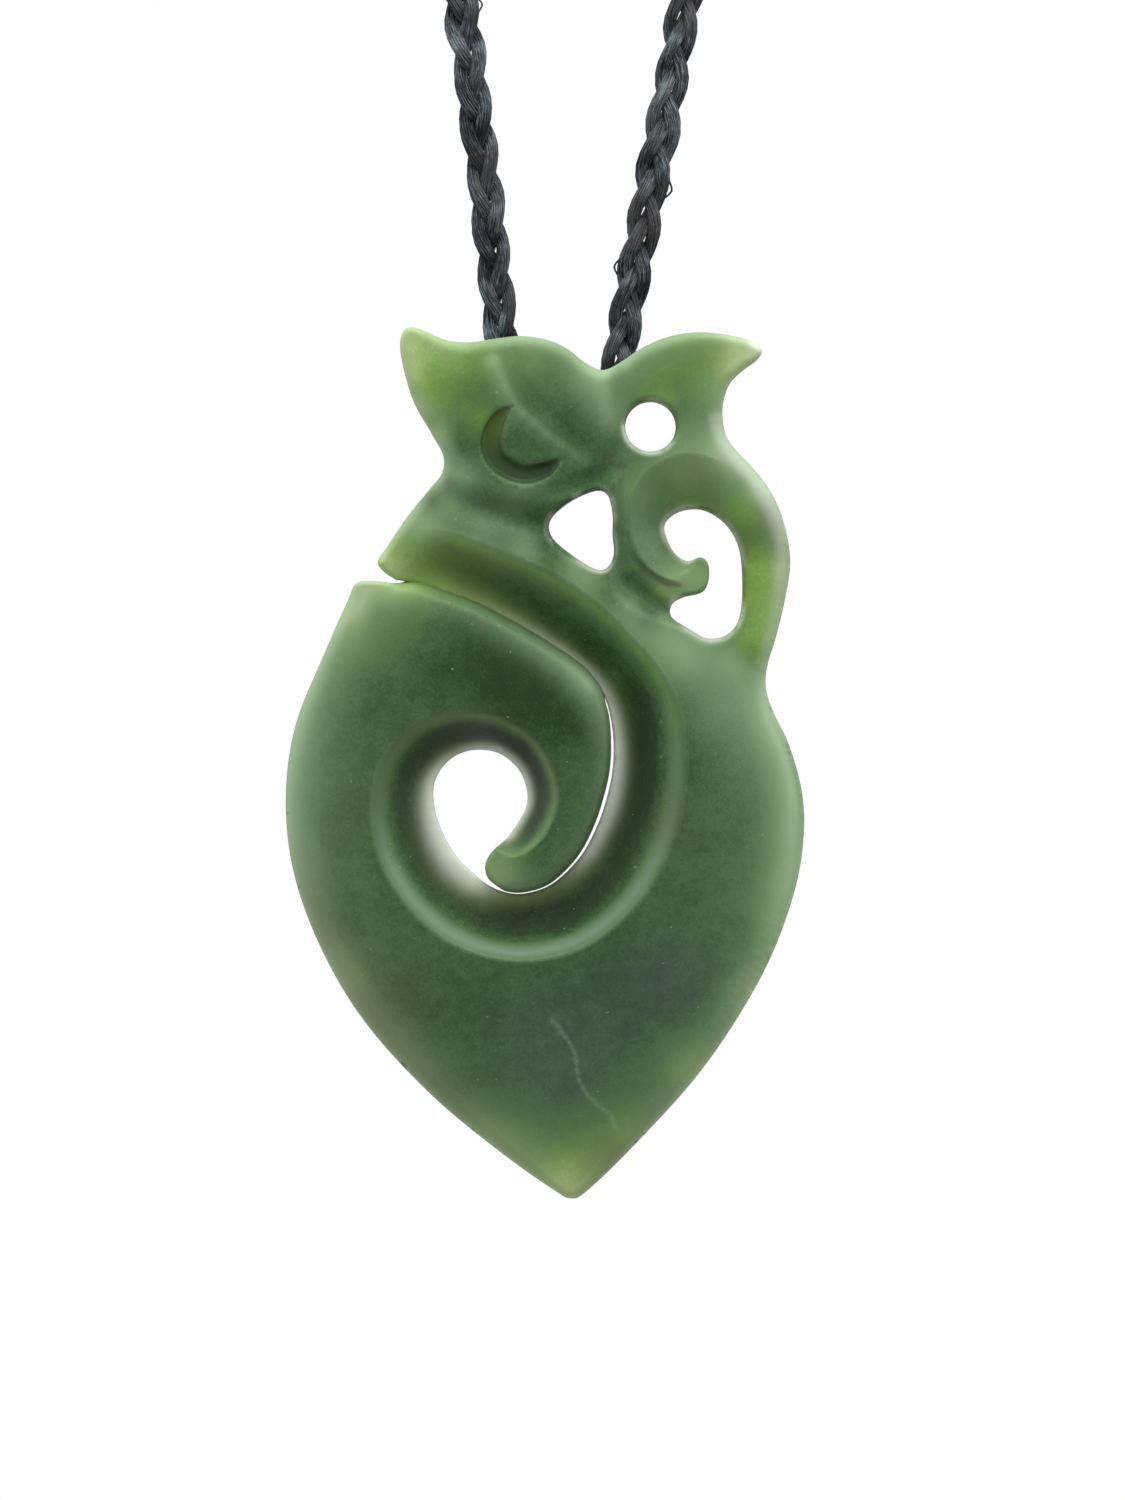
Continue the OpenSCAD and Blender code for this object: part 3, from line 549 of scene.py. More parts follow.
def edgeDrop(gap, radius):
    # from the face down into the edge: part of a quarter circle's fall and part of a parabola's
    lack = np.clip(1 - gap / radius, 0, 1)
    return radius * (0.5 * (1 - np.sqrt(1 - lack**2)) + 0.4 * lack**2)


def frontHeight(points):
    # the dome less the shoulder, tongue and grooves; in a cove a power of the share across takes over
    height = dome(*points.T, stone["rimFront"], stone["crownFront"]) - shoulderDrop(points)
    height = height - tongueDrop(points)
    for groove in grooves.values():
        height = height - grooveDrop(points, groove)
    hollow, lip, ridgeLit = np.zeros((len(points), 3)), np.zeros((len(points), 3)), np.zeros(len(points))
    for cove in (spiralCove, hookCove):
        within = inside(points, coveLoop(cove))
        row, share = coveOf(points[within], cove)
        share = np.clip(share, 0, 1)
        section = along(np.hstack(coveLines(cove)), row * coveSteps)
        inward = share * np.linalg.norm(section[:, 2:] - section[:, :2], axis=1)
        top = dome(*section[:, :2].T, stone["rimFront"], stone["crownFront"])
        gentle = lookUp(cove["gentle"], row)[0]
        steep = (1 - share) ** cove["steepness"]
        carved = cove["lip"] + (top - cove["lip"]) * (steep * (1 - gentle) + (1 - share**1.6) ** 2.2 * gentle)
        start, end = cove["fades"]
        fade = smoothStep((row + 0.001) / (start + 0.001)) * smoothStep((len(cove["rows"]) - 1 - row) / end)
        height[within] += (carved - height[within]) * fade * smoothStep(inward / cove["ramp"])
        hollow[within] = np.stack([row, share, fade * np.minimum(1, 8 * share) * cove["depth"]], axis=1)
        # the painted glow of light through the thin lip
        wide, strength, yellow = lookUp(cove["glow"], row)
        glow = np.clip((share - 1 + wide) / wide, 0, 1) ** 1.35 * strength * fade
        lip[within] = np.stack([glow, yellow, np.zeros_like(glow)], axis=1)
        # a painted sheen along the cove's ridge
        ridgeLit[within] = np.exp(-(inward / stone["ridgeReach"]) ** 2) * fade
    return height, hollow, lip, ridgeLit


def patched(points, patches):
    # each patch takes a share of what the others leave, fading out from its middle
    left = np.ones((len(points), len(patches[0]) - 3))
    for x, z, reach, *shares in patches:
        left *= 1 - np.outer(np.exp(-((points - [x, z]) ** 2).sum(1) / reach**2), shares)
    return 1 - left.T


def hairlineShift(flat):
    # the hairline's cut leans: points near it move square to it, in a bell that fades at its ends
    cut = smoothLine(spiralCove["rows"], edgeSteps)[edgeSteps * mouthRow:edgeSteps * hairRow, 2:]
    gap, place, _ = nearest(flat, cut)
    growing, fading = stone["slantEnds"]
    ends = smoothStep(place / growing) * smoothStep((len(cut) - 1 - place) / fading)
    shift = stone["slant"] * ends * np.exp(-(gap / stone["slantReach"]) ** 2)
    return shift[:, None] * along(-rightOf(cut), place)


def stoneMarks(flat, loops, thickness, hollow, lip, ridgeLit):
    # what the finish reads at each point, for the front and then the back: the stone's own marks, and painted
    # light and shade
    veinGap, veinPlace, _ = nearest(flat, smoothLine(vein, edgeSteps))
    bevelGap, bevelPlace, _ = nearest(flat, smoothLine([row[:2] for row in armBevel], edgeSteps))
    bevel = np.interp(bevelPlace / edgeSteps, np.arange(len(armBevel)), [row[2] for row in armBevel])
    # yellow-green: painted light through thin stone; milky: painted sheen, and painted shade below 0
    yellow, milky = patched(flat, palePatches)
    eye = grooveDrop(flat, grooves["eye"])
    holeGap = nearestLoops(flat, loops[1:])[0] - stone["holeRimAt"]
    both = {
        "thickness": thickness, "edgeGap": nearest(flat, smoothLine(silhouette, edgeSteps))[0],
        "yellow": yellow, "cool": patched(flat, coolSheenPatches)[0], "brown": patched(flat, brownPatches)[0],
    }
    frontOnly = {
        "hollow": hollow, "lip": lip, "eye": eye,
        "olive": np.clip(eye / stone["oliveDepth"], 0, 1) * patched(flat, olivePatches)[0],
        "bevel": bevel * np.exp(-(bevelGap / stone["bevelReach"]) ** 4),
        # a painted reflection line along the holes' rims
        "holeRim": np.exp(-(holeGap / stone["holeRimReach"]) ** 2),
        "vein": np.exp(-(veinGap / stone["veinReach"]) ** 2) * (0.5 + 0.5 * np.sin(veinPlace * 1.7) ** 2),
    }
    marks = {name: np.concatenate([value, value]) for name, value in both.items()}
    marks |= {name: np.concatenate([value, np.zeros_like(value)]) for name, value in frontOnly.items()}
    # painted sheen and shade from the patches, with painted sheen along the coves' ridges and beside the slot
    # on the front
    marks["milky"] = np.concatenate([milky + stone["ridgeSheen"] * ridgeLit + paintedTongueSheen(flat), milky])
    return marks


def stoneShell():
    # one sheet of triangles in the stone's plane, raised to the front and to the back, and walls between
    loops = stoneEdges()
    starts = np.cumsum([0] + [len(loop) for loop in loops])
    edges = [(a + k, a + (k + 1) % (b - a)) for a, b in zip(starts, starts[1:]) for k in range(b - a)]
    flat, _, faces, *_ = delaunay_2d_cdt(stonePoints(loops).tolist(), edges, [], 0, 1e-7, False)
    flat, faces = np.array(flat), np.array(faces)
    faces = faces[withinStone(flat[faces].mean(1), loops)]
    used, faces = np.unique(faces, return_inverse=True)
    flat, faces = flat[used], faces.reshape(-1, 3)
    gap, width = nearestLoops(flat, loops)
    front, hollow, lip, ridgeLit = frontHeight(flat)
    back = dome(*flat.T, stone["rimBack"], stone["crownBack"])
    marks = stoneMarks(flat, loops, front + back, hollow, lip, ridgeLit)
    front = front - edgeDrop(gap, stone["frontRound"] * width)
    back = back - edgeDrop(gap, stone["backRound"] * width)
    # where the two faces come too close they bend apart, smoothly
    room = front + back - stone["thinnest"]
    lack = (np.sqrt(room**2 + stone["bendSoftness"]) - room) / 2
    front, back = front + stone["bend"][0] * lack, back + stone["bend"][1] * lack
    behind = flat + hairlineShift(flat)
    points = np.vstack([np.column_stack([flat[:, 0], -front, flat[:, 1]]),
                        np.column_stack([behind[:, 0], back, behind[:, 1]])])
    # cut along the line of sight to the hanging stone, so holes and ridges show where they are drawn
    points[:, 2] -= points[:, 1] * math.tan(math.radians(stone["restTilt"]))
    # a side that only one triangle has is a rim, and a wall of two triangles joins it to the back
    count = len(flat)
    sides = np.concatenate([faces[:, [0, 1]], faces[:, [1, 2]], faces[:, [2, 0]]])
    code, other = sides[:, 0] * count + sides[:, 1], sides[:, 1] * count + sides[:, 0]
    rim = sides[~np.isin(code, other)][:, ::-1]
    walls = np.column_stack([rim[:, 0], rim[:, 1], rim[:, 1] + count, rim[:, 0] + count])
    walls = np.concatenate([walls[:, [0, 1, 2]], walls[:, [0, 2, 3]]])
    return points, np.concatenate([faces, faces[:, ::-1] + count, walls]), marks


def gridFaces(rows, columns, closed=False):
    # triangles of a grid of points whose columns close on themselves, and whose rows do if closed
    row = np.arange(rows if closed else rows - 1)[:, None]
    column = np.arange(columns)[None]
    a = row * columns + column
    b = row * columns + (column + 1) % columns
    c = (row + 1) % rows * columns + (column + 1) % columns
    d = (row + 1) % rows * columns + column
    return np.concatenate([np.stack([a, b, c], 2).reshape(-1, 3), np.stack([a, c, d], 2).reshape(-1, 3)])


lug = {
    "radius": 2.95,
    "bore": 1.86,         # its radius
    "width": 3.0,
    "flare": 0.9,         # how much wider it is at the stone, from where and over what length
    "flareFrom": 0.6,
    "flareOver": 1.8,
    "reach": 3.2,         # from the bore's middle into the stone
    "squareness": 0.4,    # power that flattens its section's sides
    "around": 72,
    "across": 40,
    "marks": {"thickness": 5, "edgeGap": 3},   # what the finish reads on it; the other marks are 0
}


def lugShell():
    # a soft-cornered section carried round the bore; towards the stone it is square and flares out
    turn = np.linspace(0, 2 * math.pi, lug["around"], endpoint=False)[:, None]
    spin = np.linspace(0, 2 * math.pi, lug["across"], endpoint=False)[None]

    def squared(value):
        return np.sign(value) * np.abs(value) ** lug["squareness"]

    flat = np.minimum(lug["radius"] / np.maximum(np.abs(np.sin(turn)), 1e-6),
                      lug["reach"] / np.maximum(-np.cos(turn), 1e-6))
    outer = np.where(np.cos(turn) > 0, lug["radius"], flat)
    radius = (outer + lug["bore"]) / 2 + (outer - lug["bore"]) / 2 * squared(np.cos(spin))
    flare = lug["flare"] * smoothStep(-(radius * np.cos(turn) + lug["flareFrom"]) / lug["flareOver"])
    x = (lug["width"] / 2 + flare) * squared(np.sin(spin))
    points = np.stack([x, stone["boreBack"] + radius * np.cos(turn), radius * np.sin(turn)], axis=2)
    return points.reshape(-1, 3), gridFaces(lug["around"], lug["across"], closed=True)


def makePiece(name, points, faces, marks=None, uv=None):
    # points in millimetres of the row frame
    mesh = bpy.data.meshes.new(name)
    mesh.vertices.add(len(points))
    mesh.vertices.foreach_set("co", (points / 1000).astype(np.float32).ravel())
    mesh.loops.add(3 * len(faces))
    mesh.loops.foreach_set("vertex_index", faces.astype(np.int32).ravel())
    mesh.polygons.add(len(faces))
    mesh.polygons.foreach_set("loop_start", np.arange(0, 3 * len(faces), 3, dtype=np.int32))
    mesh.polygons.foreach_set("use_smooth", np.ones(len(faces), bool))
    mesh.update(calc_edges=True)
    for mark, value in (marks or {}).items():
        kind, field = ("FLOAT", "value") if value.ndim == 1 else ("FLOAT_VECTOR", "vector")
        mesh.attributes.new(mark, kind, "POINT").data.foreach_set(field, value.astype(np.float32).ravel())
    if uv is not None:
        mesh.uv_layers.new(name="run").data.foreach_set("uv", uv[faces.ravel()].astype(np.float32).ravel())
    piece = bpy.data.objects.new(name, mesh)
    bpy.context.scene.collection.objects.link(piece)
    return piece


def placeStone(points):
    # scaled to the stone's length, tilted about the bore as it hangs, and moved to the bore
    scale = stone["length"] / np.ptp(smoothLine(silhouette, edgeSteps)[:, 1])
    x, y, z = ((points - [0, stone["boreBack"], 0]) * scale).T
    tilt = math.radians(stone["restTilt"])
    return np.column_stack([x, y * math.cos(tilt) - z * math.sin(tilt),
                            y * math.sin(tilt) + z * math.cos(tilt)]) + boreAt


def makeStone():
    points, faces, marks = stoneShell()
    lugPoints, lugFaces = lugShell()
    for name, value in marks.items():
        plain = np.full((len(lugPoints),) + value.shape[1:], lug["marks"].get(name, 0))
        marks[name] = np.concatenate([value, plain])
    faces = np.concatenate([faces, lugFaces + len(points)])
    piece = makePiece("manaia", placeStone(np.vstack([points, lugPoints])), faces, marks)
    print("stone:", len(faces), "triangles")
    return piece


# The cord's route from the nape's right side to its left, through the bore.
cordRoute = [
    (4, 0, 0), (10, -0.4, 0), (20, -2, -0.5), (38, -11, -3), (52, -28, -8), (58, -50, -17),
    (55, -73, -27), (44, -94, -40), (31, -108, -55), (21, -117, -74), (14.4, -122, -95),
    (10, -124.2, -115.6), (7.2, -124.9, -130.5), (5, -125, -142), (4.3, -125, -146.2),
    (2.7, -125, -149), (0, -125, -150), (-2.7, -125, -149), (-4.3, -125, -146.2),
    (-4.9, -125, -142), (-6.2, -124.9, -130.5), (-8.2, -124.2, -115.6), (-12, -122, -95),
    (-19, -117, -74), (-30, -108, -55), (-44, -94, -40), (-55, -73, -27), (-58, -50, -17),
    (-52, -28, -8), (-38, -11, -3), (-20, -2, -0.5), (-10, -0.4, 0), (-4, 0, 0),
]
cord = {
    "neckAxis": (0, -60, 0),
    "pitch": 12,          # length of cord in which a strand comes back to its place
    "swing": 0.86,        # how far a strand goes sideways, and out and in
    "depth": 0.54,
    "halfWidth": 0.57,    # of one strand
    "halfDepth": 0.44,
    "threads": 16,
    "threadRadius": 0.1,
    "lay": 30,            # length in which a strand's threads turn once round it
    "step": 0.75,         # between points along it
    "sides": 5,           # of a thread, and of the core that fills the strand
    "coreSides": 8,
    "coreOver": 0.03,     # how far the core reaches past the threads' middles
    "seed": 7,
    # smooth chance: points from one random value to the next, and the most that one is
    "wander": {
        "twist": (26, 0.35),   # of the plait on itself, in radians
        "swing": (6, 0.08), "width": (8, 0.1), "spread": (5, 0.128), "thickness": (4, 0.3),   # shares
        "sideways": (4, 0.05), "outward": (4, 0.03),   # of each thread
    },
}
# Stray threads that stand out in a small loop. Columns: height above the bore, run, edge; -1 is the left.
strays = [(32.2, -1, 1), (13.4, -1, -1), (11.4, 1, -1), (18.2, 1, 1)]
stray = {
    "bulge": 0.42,
    "halfLength": 1.0,
    "radius": 0.085,
    "sunk": 0.05,         # how deep in the strand it starts
    "outermost": 0.92,    # share of the swing that the strand has to reach there
    "nearby": 1.6,        # how far from the row's height it may be
    "points": 15,
    "sides": 6,
}


def facing(middle, run):
    # two directions square to a run: out from the neck, and sideways along the flat of the plait
    away = middle - cord["neckAxis"]
    away[:, 2] = 0
    out = unit(away - (away * run).sum(1, keepdims=True) * run)
    return out, np.cross(run, out)


def wander(count, name, dice):
    # random values every few points, joined by a smooth line
    spacing, size = cord["wander"][name]
    values = dice.uniform(-size, size, count // spacing + 3)
    return smoothLine(values[:, None], spacing)[:count, 0]


def fan(sides):
    # triangles that fill a ring of points
    spoke = np.arange(1, sides - 1)
    return np.stack([np.zeros_like(spoke), spoke, spoke + 1], axis=1)


def tube(middle, out, side, width, depth, sides):
    # an oval section carried along a line of middles, with a flat cap at each end
    turn = np.linspace(0, 2 * math.pi, sides, endpoint=False)
    width, depth = np.broadcast_to(width, len(middle)), np.broadcast_to(depth, len(middle))
    rings = (middle[:, None] + (width[:, None] * np.cos(turn))[..., None] * side[:, None]
             + (depth[:, None] * np.sin(turn))[..., None] * out[:, None])
    faces = gridFaces(len(middle), sides)[:, ::-1]
    cap = fan(sides)
    return rings.reshape(-1, 3), np.concatenate([faces, cap, cap[:, ::-1] + (len(middle) - 1) * sides])


def strayLoop(place, route, middle, side, out, width):
    # a thread lifted in a half wave off the outermost part of the strand that has one near that height
    height, whichRun, edge = place
    away = np.abs(route[:, 2] - boreAt[2] - height)
    outermost = (middle - route)[:, 0] * edge >= stray["outermost"] * cord["swing"]
    away = np.where((np.sign(route[:, 0]) == whichRun) & outermost, away, np.inf)
    near = np.argmin(away)
    if away[near] > stray["nearby"]:
        return []
    share = np.linspace(-1, 1, stray["points"])
    bulge = width[near] - stray["sunk"] + stray["bulge"] * np.cos(share * math.pi / 2) ** 2
    spot = near + share * stray["halfLength"] / cord["step"]
    line = np.stack([np.interp(spot, np.arange(len(middle)), column) for column in middle.T], axis=1)
    line = line + bulge[:, None] * side[near] * np.sign(side[near][0]) * edge
    loopOut = np.repeat(out[near][None], len(line), 0)
    across = np.cross(unit(np.gradient(line, axis=0)), loopOut)
    return [(tube(line, loopOut, across, stray["radius"], stray["radius"], stray["sides"]),
             tubeUv(share, stray["sides"]))]


def tubeUv(run, sides, start=0):
    # the length along a tube, and the turn round it
    around = np.arange(sides) / sides + start
    return np.column_stack([np.repeat(run, sides), np.tile(around, len(run))])


def makeStrand(number, route, run, twist, dice):
    # a figure of eight across the plait once a pitch; threads lie round a core and turn slowly round it
    sixths = round(run[-1] / cord["pitch"] * 6)
    turn = 2 * math.pi * run / run[-1] * sixths / 6 + math.radians(30 + 120 * number)
    out, side = facing(route, unit(np.gradient(route, axis=0)))
    out, side = (out * np.cos(twist)[:, None] + side * np.sin(twist)[:, None],
                 side * np.cos(twist)[:, None] - out * np.sin(twist)[:, None])
    count = len(run)
    swing = cord["swing"] * (1 + wander(count, "swing", dice))
    middle = (route + (cord["depth"] * np.sin(2 * turn))[:, None] * out
              + (swing * np.sin(turn))[:, None] * side)
    out, side = facing(route, unit(np.gradient(middle, axis=0)))
    radius, sides = cord["threadRadius"], cord["sides"]
    width = (cord["halfWidth"] - radius) * (1 + wander(count, "width", dice))
    depth = cord["halfDepth"] - radius
    fill = cord["coreOver"]
    parts = [(tube(middle, out, side, width + fill, depth + fill, cord["coreSides"]),
              tubeUv(run, cord["coreSides"]))]
    for thread in range(cord["threads"]):
        spin = 2 * math.pi * (thread / cord["threads"] + run / cord["lay"])
        spread = 1 + wander(count, "spread", dice)
        line = (middle + (width * spread * np.cos(spin) + wander(count, "sideways", dice))[:, None] * side
                + (depth * spread * np.sin(spin) + wander(count, "outward", dice))[:, None] * out)
        thick = radius * (1 + wander(count, "thickness", dice))
        parts.append((tube(line, out, side, thick, thick, sides), tubeUv(run, sides, thread + 1)))
    for place in strays:
        parts += strayLoop(place, route, middle, side, out, width)
    points, faces, uvs = zip(*[(*shape, uv) for shape, uv in parts])
    starts = np.cumsum([0] + [len(part) for part in points])
    faces = np.concatenate([part + start for part, start in zip(faces, starts)])
    piece = makePiece(f"braidStrand{number + 1}", np.concatenate(points), faces, uv=np.concatenate(uvs))
    print("strand", number + 1, ":", len(faces), "triangles")
    return piece


binding = {
    "radius": 2.28,
    "length": 12,
    "bore": 1.5,          # its radius
    "turns": 21,
    "ridge": 0.13,        # depth of the valley between two windings
    "round": 0.45,
    "sides": 48,
    "turnRows": 8,        # rows of points along each winding, round an end and through the bore
    "roundRows": 6,
    "boreRows": 12,
    "fibres": (3, 2.3),   # changes of the thread's fibres in a winding, and in a radian round the sleeve
}


def makeBinding():
    # a hollow sleeve: out along the windings, round the end, back along the bore, round the other end
    half = binding["length"] / 2
    rows, boreRows = binding["turns"] * binding["turnRows"], binding["boreRows"]
    outer = np.linspace(-half + binding["round"], half - binding["round"], rows)
    bend = np.linspace(0, math.pi / 2, binding["roundRows"])[1:]
    middle = (binding["radius"] + binding["bore"]) / 2
    endX = half - binding["round"] + binding["round"] * np.sin(bend)
    endR = binding["radius"] - binding["round"] * (1 - np.cos(bend))
    x = np.concatenate([outer, endX, [half, half - 0.2], np.linspace(half - 0.4, 0.4 - half, boreRows),
                        [0.2 - half, -half], -endX[::-1]])
    r = np.concatenate([np.full(rows, binding["radius"]), endR, [middle, binding["bore"] + 0.05],
                        np.full(boreRows, binding["bore"]), [binding["bore"] + 0.05, middle], endR[::-1]])
    wound = np.zeros(len(x))
    wound[:rows] = np.sin(np.linspace(0, math.pi, rows)) ** 0.15
    turn = np.linspace(0, 2 * math.pi, binding["sides"], endpoint=False)
    phase = x[:, None] / binding["length"] * binding["turns"] - turn / (2 * math.pi)
    radius = r[:, None] - binding["ridge"] * wound[:, None] * (1 - np.abs(np.sin(phase * math.pi)) ** 0.7)
    across = np.broadcast_to(x[:, None], radius.shape)
    points = np.stack([across, radius * np.cos(turn), radius * np.sin(turn)], axis=2)
    perTurn, perRadian = binding["fibres"]
    uv = np.stack([phase * perTurn, np.broadcast_to(turn * perRadian, radius.shape)], axis=2).reshape(-1, 2)
    faces = gridFaces(len(x), binding["sides"], closed=True)[:, ::-1]
    print("binding:", len(faces), "triangles")
    return makePiece("napeBinding", points.reshape(-1, 3), faces, uv=uv)


class Wire:
    # one socket of a material's graph; sums and products of wires add Math nodes
    def __init__(self, graph, socket):
        self.graph, self.socket = graph, socket

    def __add__(self, other):
        return self.graph.math("ADD", self, other)

    def __sub__(self, other):
        return self.graph.math("SUBTRACT", self, other)

    def __rsub__(self, other):
        return self.graph.math("SUBTRACT", other, self)

    def __mul__(self, other):
        return self.graph.math("MULTIPLY", self, other)

    def __pow__(self, other):
        return self.graph.math("POWER", self, other)

    __radd__, __rmul__ = __add__, __mul__


class Graph:
    # a material or world being wired up
    def __init__(self, owner):
        owner.use_nodes = True
        self.tree = owner.node_tree
        self.tree.nodes.clear()

    def node(self, kind, settings=None, sockets=None):
        made = self.tree.nodes.new(kind)
        for name, value in (settings or {}).items():
            if name == "stops":
                stops = made.color_ramp.elements
                stops.remove(stops[1])
                stops[0].position, stops[0].color = value[0]
                for at, colour in value[1:]:
                    stops.new(at).color = colour
            else:
                setattr(made, name, value)
        for name, value in (sockets or {}).items():
            if isinstance(value, Wire):
                self.tree.links.new(value.socket, made.inputs[name])
            else:
                made.inputs[name].default_value = value
        return [Wire(self, socket) for socket in made.outputs]

    def math(self, operation, *values):
        return self.node("ShaderNodeMath", {"operation": operation}, dict(enumerate(values)))[0]

    def stretched(self, place, factors):
        return self.node("ShaderNodeVectorMath", {"operation": "MULTIPLY"}, {0: place, 1: factors})[0]

    def mixed(self, share, first, second):
        return self.node("ShaderNodeMix", {"data_type": "RGBA"}, {0: share, 6: first, 7: second})[2]

    def noise(self, place, scale, detail=2.0, roughness=0.5):
        return self.node("ShaderNodeTexNoise", None, {
            "Vector": place, "Scale": scale, "Detail": detail, "Roughness": roughness})[0]

    def band(self, value, low, high):
        # 0 below low, 1 above high, and a smooth step between them
        return self.node("ShaderNodeMapRange", {"interpolation_type": "SMOOTHSTEP"}, {
            "Value": value, "From Min": low, "From Max": high})[0]

    def between(self, value, low, high, end, last):
        # up from low to high, and down again from end to last
        return self.band(value, low, high) * (1 - self.band(value, end, last))

    def bumped(self, height, strength, distance):
        return self.node("ShaderNodeBump", None, {
            "Height": height, "Strength": strength, "Distance": distance})[0]

    def finish(self, sockets):
        shader = self.node("ShaderNodeBsdfPrincipled", None, sockets)[0]
        self.node("ShaderNodeOutputMaterial", None, {"Surface": shader})


def tint(*screen):
    # a screen colour of 0 to 255 as the light that it stands for
    return tuple(c / 255 / 12.92 if c < 11 else ((c / 255 + 0.055) / 1.055) ** 2.4 for c in screen) + (1,)


greenstone = {
    "stops": [   # depth of colour: colour
        (0, tint(208, 218, 192)), (0.15, tint(156, 188, 106)), (0.3, tint(120, 154, 64)),
        (0.45, tint(100, 135, 57)), (0.62, tint(83, 116, 58)), (0.8, tint(66, 98, 56)),
        (0.9, tint(46, 78, 37)), (1, tint(28, 55, 21)),
    ],
    # the section paints shade in the middle of a cove and light near its ridge
    "section": [   # share of the way across a cove: depth of colour
        (0, 0.5), (0.12, 0.52), (0.2, 0.64), (0.3, 0.83), (0.42, 0.95), (0.56, 0.98), (0.78, 0.9), (1, 0.65),
    ],
    "fullDepth": 2.6,     # thickness in mm at which the depth comes near its most
    "mostDepth": 0.84,
    "eyeShadeDepth": 0.26,
    "yellowDepth": 0.85,
    "noises": {   # scale, detail, roughness, and how much depth it adds, for the first four
        "clouds": (110, 3, 0.55, 0.34), "mottle": (480, 2, 0.6, 0.16), "fine": (1500, 3, 0.65, 0.18),
        "grain": (5200, 1, 0.5, 0.2), "patchy": (260, 2, 0.5), "warm": (70, 2, 0.5), "specks": (2600, 1, 0.5),
        "ripple": (420, 3, 0.6), "shine": (260, 3, 0.5),
    },
    # a painted bluish grey reflection
    "cool": tint(84, 92, 96),
    # a painted shade line just inside the cove's ridge
    "ridgeShadeLine": tint(52, 74, 48),
    # the painted glow of light through the cove's thin lip: cream, yellow-green and brown
    "lip": tint(236, 242, 228),
    "yellowLipGlow": tint(162, 188, 104),
    "brownLipGlow": tint(102, 116, 80),
    # painted sheen on the cove's slope and ridge, where they face the light above
    "slopeSheen": tint(80, 99, 80),
    "ridge": tint(112, 135, 113),
    # colours of the painted milky sheen
    "milk": tint(148, 175, 136),
    "yellowMilkSheen": tint(178, 199, 142),
    "brown": tint(136, 136, 94),
    "bevel": tint(184, 197, 178),
    # painted shade in the eye's groove
    "eye": tint(50, 80, 42),
    "olive": tint(76, 98, 32),
    # painted reflection along the holes' rims, and painted glow at the outer edge
    "edgeShine": tint(216, 222, 208),
    "warm": tint(84, 84, 48),
    "vein": tint(150, 172, 138),
    # shares of the way down a cove where its painted shade line lies, and rows of the spiral cove where its
    # slope and its ridge carry a painted grey sheen from the light above: each rises from the first to the
    # second and fades from the third to the last
    "shadeLineShares": (0, 0.015, 0.02, 0.04),
    "slopeSheenRows": (9, 14, 27, 31),
    "ridgeSheenRows": (13, 17, 23.5, 25.5),
    # the painted shade line fades over these rows
    "shadeLineEnds": (10, 15),        # rows over which the dark line fades
    # how fast the painted glow at the outer edge fades inwards
    "edgeGlowFall": (-2.8, -0.23, -0.28),   # how fast the three hazes at the outer edge fade inwards
    "strengths": {               # the most that each layer covers
        "ridgeShadeLine": 0.35, "slopeSheen": 0.75, "ridge": 0.95, "eye": 0.6, "holeRim": 0.55, "edgeShine": 0.5,
        "warm": 0.3, "vein": 0.3, "specks": 0.4,
    },
    "toolMarks": (1.1, 45, 0),   # how fast the cove's fine streaks change along it and across it
    "bump": (0.25, 0.00012),     # strength, and height in m
    "roughness": 0.3,
}


